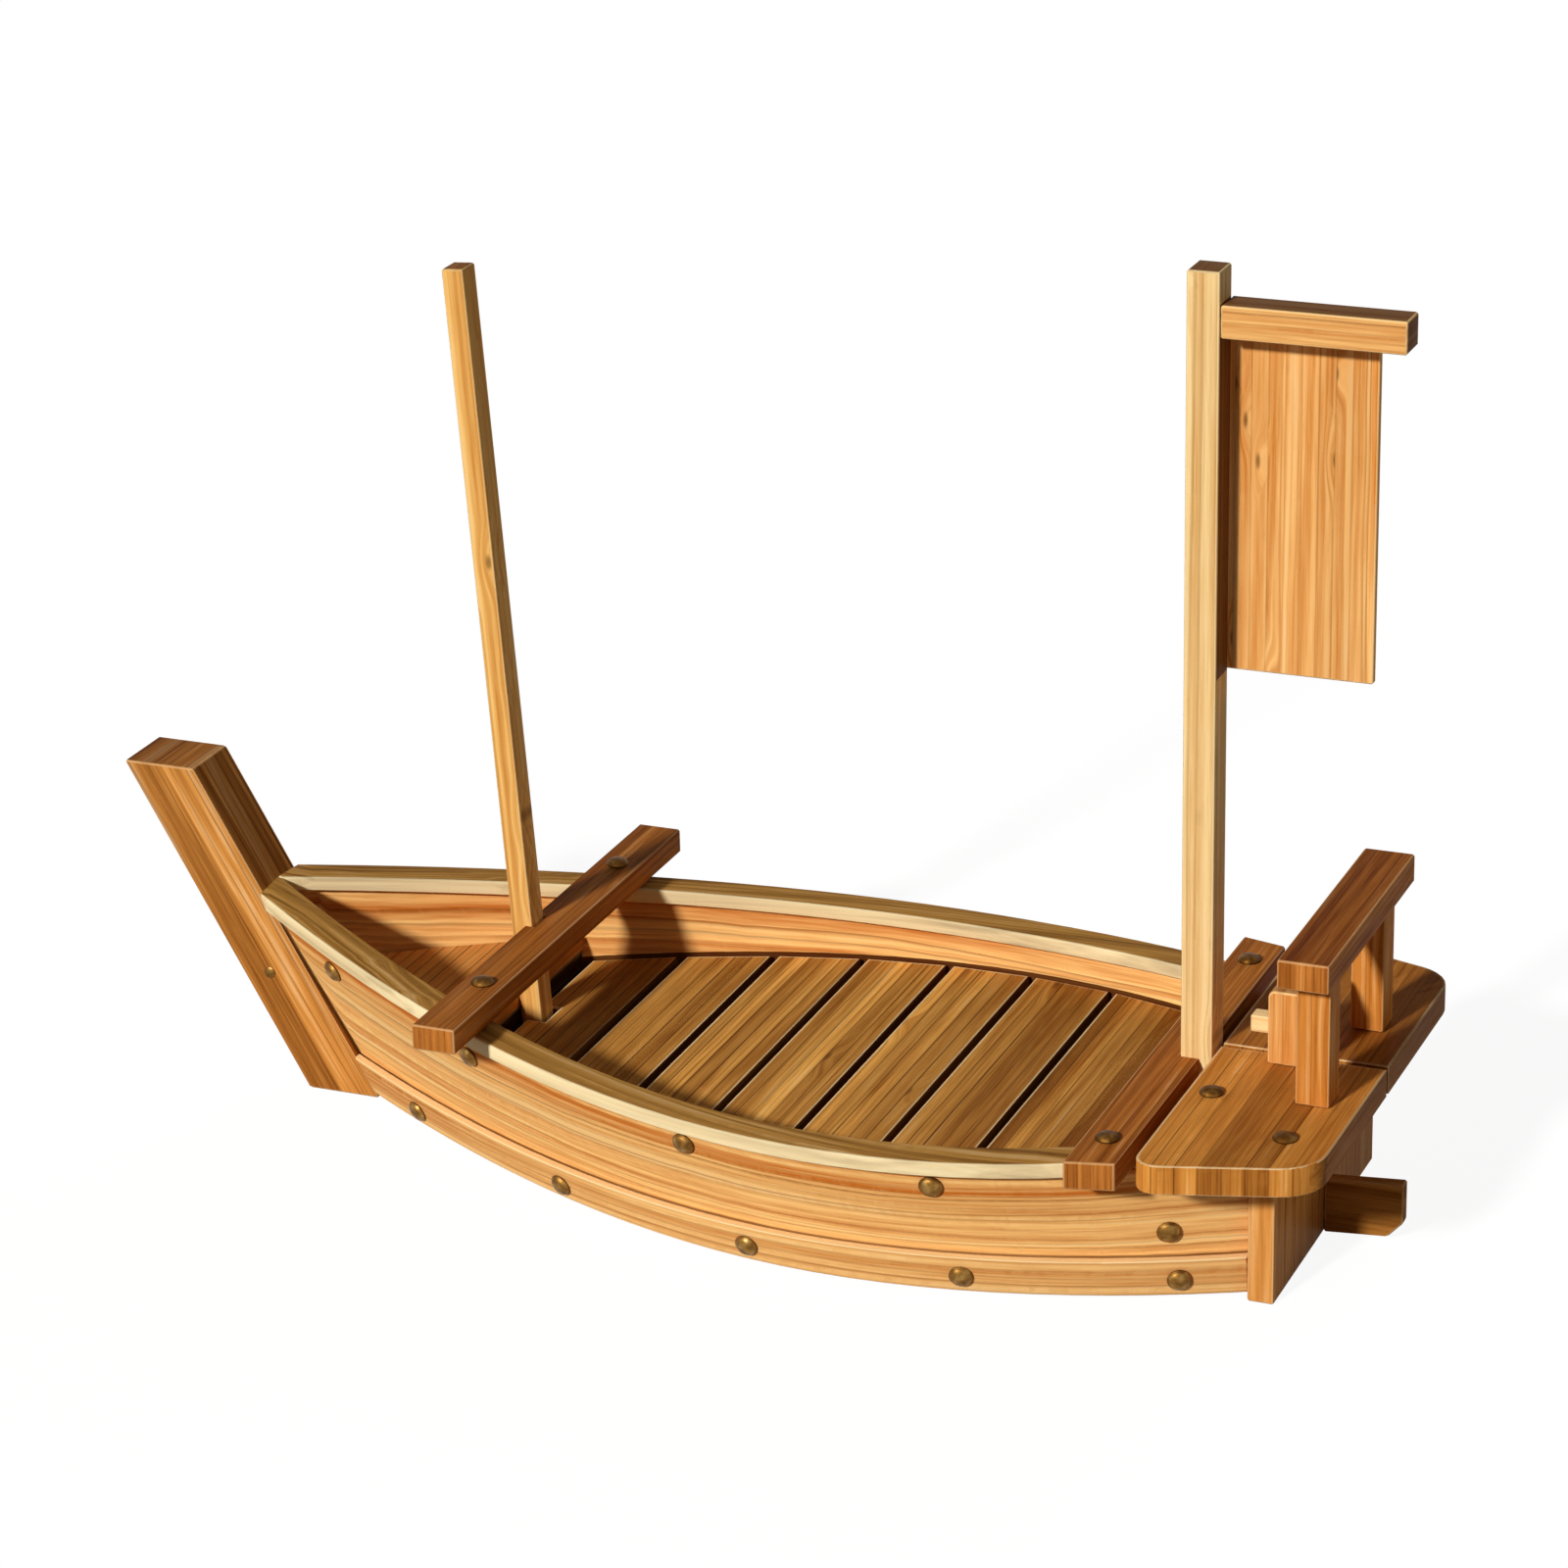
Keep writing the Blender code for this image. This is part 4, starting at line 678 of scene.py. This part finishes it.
class BOAT_OT_stage(bpy.types.Operator):
    """Add the pale floor, the lights and the camera at the angle of the photograph"""
    bl_idname = "boat.stage"
    bl_label = "Stage"

    def execute(self, context):
        scene = context.scene
        sizes, colours = scene.boat_sizes, scene.boat_colours
        scene.view_settings.view_transform = "Standard"

        camera = bpy.data.cameras.new("camera")
        camera.lens = CAMERA_LENS
        camera.sensor_width = CAMERA_SENSOR
        eye = bpy.data.objects.new("camera", camera)
        turn = Matrix(CAMERA_AXES).transposed().to_4x4()
        eye.matrix_world = Matrix.Translation(CAMERA_PLACE) @ turn
        scene.collection.objects.link(eye)
        scene.camera = eye

        # Key light from the near side, a little from the bow, and a weak wide one from the far side;
        # the rest comes softly from all round
        key = (*KEY_FROM, math.tan(sizes.key_height))
        for name, strength, spread, towards in (("key", sizes.key_level, KEY_SPREAD, key),
                                                ("back", sizes.back_level, BACK_SPREAD, BACK_FROM)):
            light = bpy.data.lights.new(name, "SUN")
            light.energy = strength
            light.angle = math.radians(spread)
            lamp = bpy.data.objects.new(name, light)
            lamp.rotation_euler = Vector(towards).to_track_quat("Z", "Y").to_euler()
            lamp.visible_glossy = name == "key"
            scene.collection.objects.link(lamp)

        world = bpy.data.worlds.new("studio")
        scene.world = world
        world.use_nodes = True
        tree = world.node_tree
        output = tree.nodes["World Output"]
        fill = node(tree, "Background", {"Color": (*linear(FILL_TONE), 1.0), "Strength": sizes.fill_level})
        white = node(tree, "Background", {"Color": (*linear(WHITE), 1.0), "Strength": 1.0})
        choice = node(tree, "MixShader", {0: self.seen_rays(tree), 1: fill.outputs[0], 2: white.outputs[0]})
        tree.links.new(choice.outputs[0], output.inputs["Surface"])

        # Painted floor: it throws light back like a pale floor, and is seen white with a faint shadow
        material = bpy.data.materials.new("floor_matt_paint")
        material.use_nodes = True
        tree = material.node_tree
        tree.nodes.remove(tree.nodes["Principled BSDF"])
        output = tree.nodes["Material Output"]
        paint = node(tree, "BsdfDiffuse", {"Color": (*colours.floor, 1.0)})
        shadow = node(tree, "BsdfDiffuse", {"Color": (*linear(FLOOR_SHADOW), 1.0)})
        glow = node(tree, "Emission", {"Color": (*linear(WHITE), 1.0), "Strength": FLOOR_GLOW})
        shown = node(tree, "AddShader", {0: shadow.outputs[0], 1: glow.outputs[0]})
        choice = node(tree, "MixShader", {0: self.seen_rays(tree), 1: paint.outputs[0], 2: shown.outputs[0]})
        tree.links.new(choice.outputs[0], output.inputs["Surface"])
        shape = bmesh.new()
        bmesh.ops.create_grid(shape, x_segments=1, y_segments=1, size=sizes.floor_breadth / 2)
        mesh = bpy.data.meshes.new("floor")
        shape.to_mesh(mesh)
        shape.free()
        mesh.materials.append(material)
        floor = bpy.data.objects.new("floor", mesh)
        scene.collection.objects.link(floor)
        return {"FINISHED"}

    @staticmethod
    def seen_rays(tree):
        """1 for the rays that show the background: camera, glossy and transmission rays."""
        path = node(tree, "LightPath")
        mirrored = node(tree, "Math", {0: path.outputs["Is Glossy Ray"],
                                       1: path.outputs["Is Transmission Ray"]}, operation="MAXIMUM")
        return node(tree, "Math", {0: path.outputs["Is Camera Ray"], 1: mirrored.outputs[0]},
                    operation="MAXIMUM").outputs[0]


class BOAT_OT_sides(bpy.types.Operator):
    """Add the bent side boards and the caps along their top edges"""
    bl_idname = "boat.sides"
    bl_label = "Sides"

    def execute(self, context):
        # Painted shade darkens the side boards in the crease along the floor inside and above the ledge
        # outside
        floor_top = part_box("floor_slat_1")[1][2]
        wale_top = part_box("lower_strake_port")[1][2]
        inside = [floor_top + step for step in FLOOR_LINE_SHADE]
        outside = [wale_top + step for step in LEDGE_SHADE]
        # and a painted shadow of the stem lies beside it, widening towards the foot
        bow = raked(STEM_RAKE - STEM_SHADOW_SLANT)[1]
        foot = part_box("stem")[1][0] - STEM_EASE
        beside = Vector((foot, 0, 0)).dot(bow) + STEM_SHADOW
        cuts = [(Z, height) for height in inside + outside] + [(bow, beside)]
        for side, sign in (("port", -1), ("starboard", 1)):
            def painted_side_shade(face):
                """Painted shade of a face, by its height inside and by its height and place outside."""
                middle = face.calc_center_median()
                if abs(face.normal.y) < EDGE_ON:
                    return 0.0
                if face.normal.y * sign < 0:
                    return float(inside[0] < middle.z < inside[1])
                if middle.dot(bow) < beside:
                    return STEM_SHADOW_DARK
                return LEDGE_SHADE_DARK * (outside[0] < middle.z < outside[1])

            dress_bent("upper_strake_" + side, timber(context, "strake"), "honey_wood",
                       breadth=STRAKE_BREADTH, cuts=cuts, soaked=painted_side_shade)
            # The ledge of the lower boards is painted pale as a highlight, and both edges of the caps are
            # worn pale
            dress_bent("lower_strake_" + side, timber(context, "wale"), "orange_wood",
                       breadth=WALE_BREADTH, pale=lambda face: LEDGE_HIGHLIGHT * (face.normal.z > LEDGE))
            dress_bent("gunwale_" + side, timber(context, "gunwale"), "pale_wood", slant=CAP_SLANT,
                       pale=lambda face: CAP_WEAR * (abs(face.normal.z) < FACING))
        return {"FINISHED"}


class BOAT_OT_ends(bpy.types.Operator):
    """Add the raked stem, the transom and the rudder blade"""
    bl_idname = "boat.ends"
    bl_label = "Stem and transom"

    def execute(self, context):
        along, across = raked(STEM_RAKE)
        dress_straight("stem", timber(context, "stem"), "hull", "orange_wood", along, across)
        dress_straight("transom", timber(context, "transom"), "hull", "orange_wood", Z, Y)
        dress_straight("rudder_blade", timber(context, "blade"), "hull", "dark_wood", X, Z)
        return {"FINISHED"}


class BOAT_OT_floor(bpy.types.Operator):
    """Add the floor slats, the foredeck and the boards below them"""
    bl_idname = "boat.floor"
    bl_label = "Floor"

    def execute(self, context):
        # Painted shade in the gaps, down both sides of a slat and over its aft edge
        def in_gap(face):
            return float(face.normal.x > AFT_EDGE or face.normal.x < -FACING)

        slats = ["floor_slat_%d" % number for number in range(1, 7)]
        for name in slats + ["mast_step_plank", "closing_slat"]:
            dress_straight(name, timber(context, "slat"), "hull", "brown_wood", Y, X, arris=ARRIS,
                           soaked=in_gap)
        dress_straight("foredeck", timber(context, "foredeck"), "hull", "orange_wood", Y, X)
        # The boards below the floor are painted nearly black, as shade for the dark space under it
        hold = timber(context, "hold")
        dress_straight("bottom_board", hold, "hull", "brown_wood", X, Y)
        dress_straight("front_bulkhead", hold, "hull", "dark_wood", Y, Z)
        for side in ("port", "starboard"):
            dress_straight("floor_bearer_" + side, hold, "hull", "dark_wood", X, Y)
        return {"FINISHED"}


class BOAT_OT_beams(bpy.types.Operator):
    """Add the two crossbeams on the sides"""
    bl_idname = "boat.beams"
    bl_label = "Crossbeams"

    def execute(self, context):
        # The tops of the beams take painted shade, darker than the light leaves them
        for name in ("front_crossbeam", "aft_thwart"):
            dress_straight(name, timber(context, "beam"), "hull", "brown_wood", Y, X, end=0.0,
                           soaked=painted_top_shade(name))
        return {"FINISHED"}


class BOAT_OT_stern(bpy.types.Operator):
    """Add the stern deck, its rail, the rudder head and the tiller"""
    bl_idname = "boat.stern"
    bl_label = "Stern"

    def execute(self, context):
        for side in ("port", "starboard"):
            dress_straight("stern_deck_" + side, timber(context, "deck"), "hull", "brown_wood", Y, X,
                           arris=ARRIS)
            dress_straight("rail_post_" + side, timber(context, "trim"), "hull", "honey_wood", Z, X)
        # The top of the rail beam takes painted shade
        dress_straight("rail_beam", timber(context, "beam"), "hull", "brown_wood", Y, X, end=0.0,
                       soaked=painted_top_shade("rail_beam"))
        dress_straight("rudder_head", timber(context, "sail"), "hull", "honey_wood", Z, X)
        dress_straight("tiller", timber(context, "mast"), "hull", "pale_wood", X, Z)
        return {"FINISHED"}


class BOAT_OT_masts(bpy.types.Operator):
    """Add the two masts, and the yard and sail board of the rear one"""
    bl_idname = "boat.masts"
    bl_label = "Masts"

    def execute(self, context):
        along, across = raked(MAST_RAKE)
        dress_straight("front_mast", timber(context, "pole"), "front_mast", "pale_wood", along, across)
        # The face of the mast that holds the sail board gets painted shade between its ends, where the sail
        # board keeps the light off it
        low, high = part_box("sail_panel")[0][2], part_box("yard")[1][2]

        def behind_sail(face):
            return float(face.normal.x > FACING and low < face.calc_center_median().z < high)

        dress_straight("rear_mast", timber(context, "mast"), "rear_rig", "pale_wood", Z, X,
                       cuts=[(Z, low), (Z, high)], soaked=behind_sail)
        # The top of the yard takes painted shade
        dress_straight("yard", timber(context, "yard"), "rear_rig", "honey_wood", X, Z, end=0.85,
                       soaked=painted_top_shade("yard"))
        dress_straight("sail_panel", timber(context, "sail"), "rear_rig", "orange_wood", Z, X)
        return {"FINISHED"}


class BOAT_OT_nails(bpy.types.Operator):
    """Add the domed brass nails and the small pins of the stem"""
    bl_idname = "boat.nails"
    bl_label = "Nails"

    def execute(self, context):
        sizes = context.scene.boat_sizes
        head = sizes.nail_diameter, sizes.nail_height
        for name in sorted(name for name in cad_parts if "_nail_" in name):
            crown, outwards = nail_axis(name)
            crown += outwards * (sizes.nail_height - NODE_NAIL_HEIGHT)
            # Nails in the faces that look up take the darker brass, a painted dark reflection in their domes
            metal = brass(context, browned=outwards.z > FACING)
            shape = domed_head(crown, outwards, *head, sizes.nail_shank)
            add_piece(name + "_brass", shape, metal, "hull", "antique_brass", nodes=(name,))
            if name.startswith("lower_nail_port"):
                # The far lower board has the same nails, without drilled holes of their own
                flip = Vector((1, -1, 1))
                shape = domed_head(crown * flip, outwards * flip, *head, FAR_SHANK)
                add_piece(name.replace("port", "starboard") + "_brass", shape, metal, "hull", "antique_brass")
        stem_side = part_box("stem")[1][1]
        for side, sign in (("port", -1), ("starboard", 1)):
            crown = Vector((STEM_PIN[0], sign * (stem_side + sizes.pin_height), STEM_PIN[1]))
            shape = domed_head(crown, Y * sign, sizes.pin_diameter, sizes.pin_height, PIN_SHANK)
            add_piece("stem_pin_" + side, shape, brass(context), "hull", "antique_brass")
        return {"FINISHED"}


class BOAT_PT_panel(bpy.types.Panel):
    """Lists the colours, the sizes and the pieces of the boat"""
    bl_label = "Sushi boat"
    bl_idname = "BOAT_PT_panel"
    bl_space_type = "VIEW_3D"
    bl_region_type = "UI"
    bl_category = "Sushi boat"

    def draw(self, context):
        layout = self.layout
        for group in (context.scene.boat_colours, context.scene.boat_sizes):
            for name in group.__annotations__:
                layout.prop(group, name)
        for operator in OPERATORS:
            layout.operator(operator.bl_idname)


OPERATORS = (BOAT_OT_stage, BOAT_OT_sides, BOAT_OT_ends, BOAT_OT_floor, BOAT_OT_beams, BOAT_OT_stern,
             BOAT_OT_masts, BOAT_OT_nails)
CLASSES = (BoatColours, BoatSizes) + OPERATORS + (BOAT_PT_panel,)


def register():
    for each in CLASSES:
        bpy.utils.register_class(each)
    bpy.types.Scene.boat_colours = bpy.props.PointerProperty(type=BoatColours)
    bpy.types.Scene.boat_sizes = bpy.props.PointerProperty(type=BoatSizes)


def unregister():
    del bpy.types.Scene.boat_sizes
    del bpy.types.Scene.boat_colours
    for each in reversed(CLASSES):
        bpy.utils.unregister_class(each)


def main():
    register()
    bpy.ops.boat.stage()
    bpy.ops.boat.sides()
    bpy.ops.boat.ends()
    bpy.ops.boat.floor()
    bpy.ops.boat.beams()
    bpy.ops.boat.stern()
    bpy.ops.boat.masts()
    bpy.ops.boat.nails()


if __name__ == "__main__":
    main()
